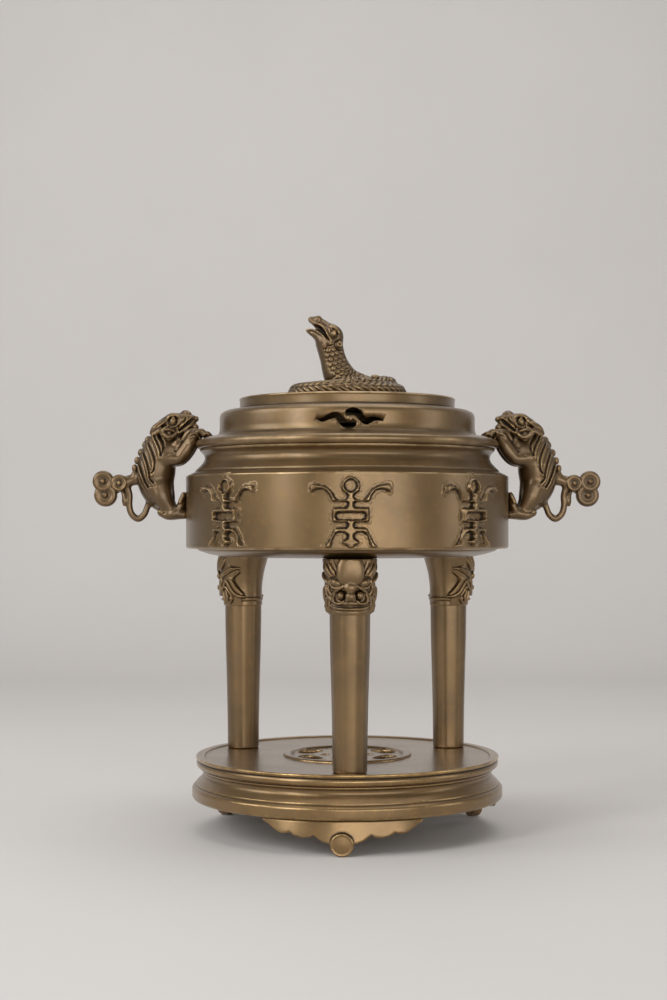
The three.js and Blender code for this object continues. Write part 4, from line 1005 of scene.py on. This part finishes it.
piece("stand_cast", [stand_work(), rosette()], stand_bronze, "stand_bronze", "stand")
apron = foot_work()
leg_forms = [shaft(), capital()]
sides = {"front": 0, "right": 120, "left": 240}
for side, turn in sides.items():
    piece(f"foot_{side}_cast", [apron.turned(turn - 3)], stand_bronze, "stand_bronze", f"foot_{side}")
    piece(f"leg_{side}_cast", [form.turned(turn) for form in leg_forms], leg_bronze, "leg_bronze", f"leg_{side}")
raised = emblem()
emblems = [raised.turned(middle + step) for middle in (0, 180) for step in (-46, 0, 46)]
piece("bowl_cast", [bowl_work(), *emblems], bowl_bronze, "bowl_bronze", "bowl")
beast = lion()
piece("lion_left", [beast], figure_bronze, "figure_bronze", "handle_left")
piece("lion_right", [beast.mirrored()], figure_bronze, "figure_bronze", "handle_right")
piece("snake_cast", [snake()], figure_bronze, "figure_bronze", "snake")


# Room, light and camera

def room():
    """A pale table that curves up into a pale wall."""
    run = [(0, -2.4), (0, 1.1)]
    run += [(0.5 - 0.5 * math.cos(a), 1.1 + 0.5 * math.sin(a)) for a in np.linspace(0.15, math.pi / 2, 10)]
    run += [(3.2, 1.6)]
    corners, faces = [], []
    for height, depth in run:
        corners += [(-3.5, depth, height), (3.5, depth, height)]
    for i in range(len(run) - 1):
        faces.append((2 * i, 2 * i + 1, 2 * i + 3, 2 * i + 2))
    mesh = bpy.data.meshes.new("room")
    mesh.from_pydata(corners, [], faces)
    mesh.shade_smooth()
    finish = Finish("pale_table")
    tone = finish.stain(colour(214, 210, 207), colour(206, 202, 199), finish.noise(3, 3.0))
    finish.shows(finish.node("BsdfPrincipled", {}, {"Base Color": tone, "Roughness": 0.7}))
    mesh.materials.append(finish.material)
    floor = bpy.data.objects.new("room", mesh)
    bpy.context.scene.collection.objects.link(floor)


def lamp(name, place, target, size, power, tint):
    light = bpy.data.lights.new(name, "AREA")
    light.shape = "RECTANGLE"
    light.size, light.size_y = size
    light.energy = power
    light.color = tint
    body = bpy.data.objects.new(name, light)
    body.location = place
    away = Vector(place) - Vector(target)
    body.rotation_euler = away.to_track_quat("Z", "Y").to_euler()
    bpy.context.scene.collection.objects.link(body)


room()
lamp("window", (-1.2, -1.2, 1.0), (0, 0, 0.25), (0.45, 1.5), 13, (0.98, 0.99, 1.0))
lamp("window_far", (-1.7, -0.35, 1.05), (0, 0, 0.25), (0.8, 1.0), 9, (0.98, 0.99, 1.0))
lamp("room_side", (0.6, -2.3, 0.45), (0, 0, 0.15), (2.4, 1.1), 24, (1.0, 0.98, 0.95))
lamp("far_wall", (1.6, -0.35, 0.6), (0, 0, 0.25), (0.5, 1.1), 3, (1.0, 0.99, 0.98))
lamp("ceiling", (0.1, 0.1, 1.7), (0, 0, 0.2), (1.6, 1.6), 11, (1.0, 0.99, 0.97))

world = bpy.data.worlds.new("room_light")
world.use_nodes = True
world.node_tree.nodes["Background"].inputs["Color"].default_value = (0.8, 0.8, 0.8, 1)
world.node_tree.nodes["Background"].inputs["Strength"].default_value = 0.4
bpy.context.scene.world = world

lens = bpy.data.cameras.new("camera")
lens.sensor_fit = "VERTICAL"
lens.sensor_height = 36
lens.lens = 61.92
lens.shift_x = -0.0138
lens.shift_y = 0.024
camera = bpy.data.objects.new("camera", lens)
camera.location = (-0.024, -1.1778, 0.208)
camera.rotation_euler = (math.pi / 2, 0, math.radians(-1.17))
bpy.context.scene.collection.objects.link(camera)
bpy.context.scene.camera = camera
bpy.context.scene.view_settings.view_transform = "Standard"
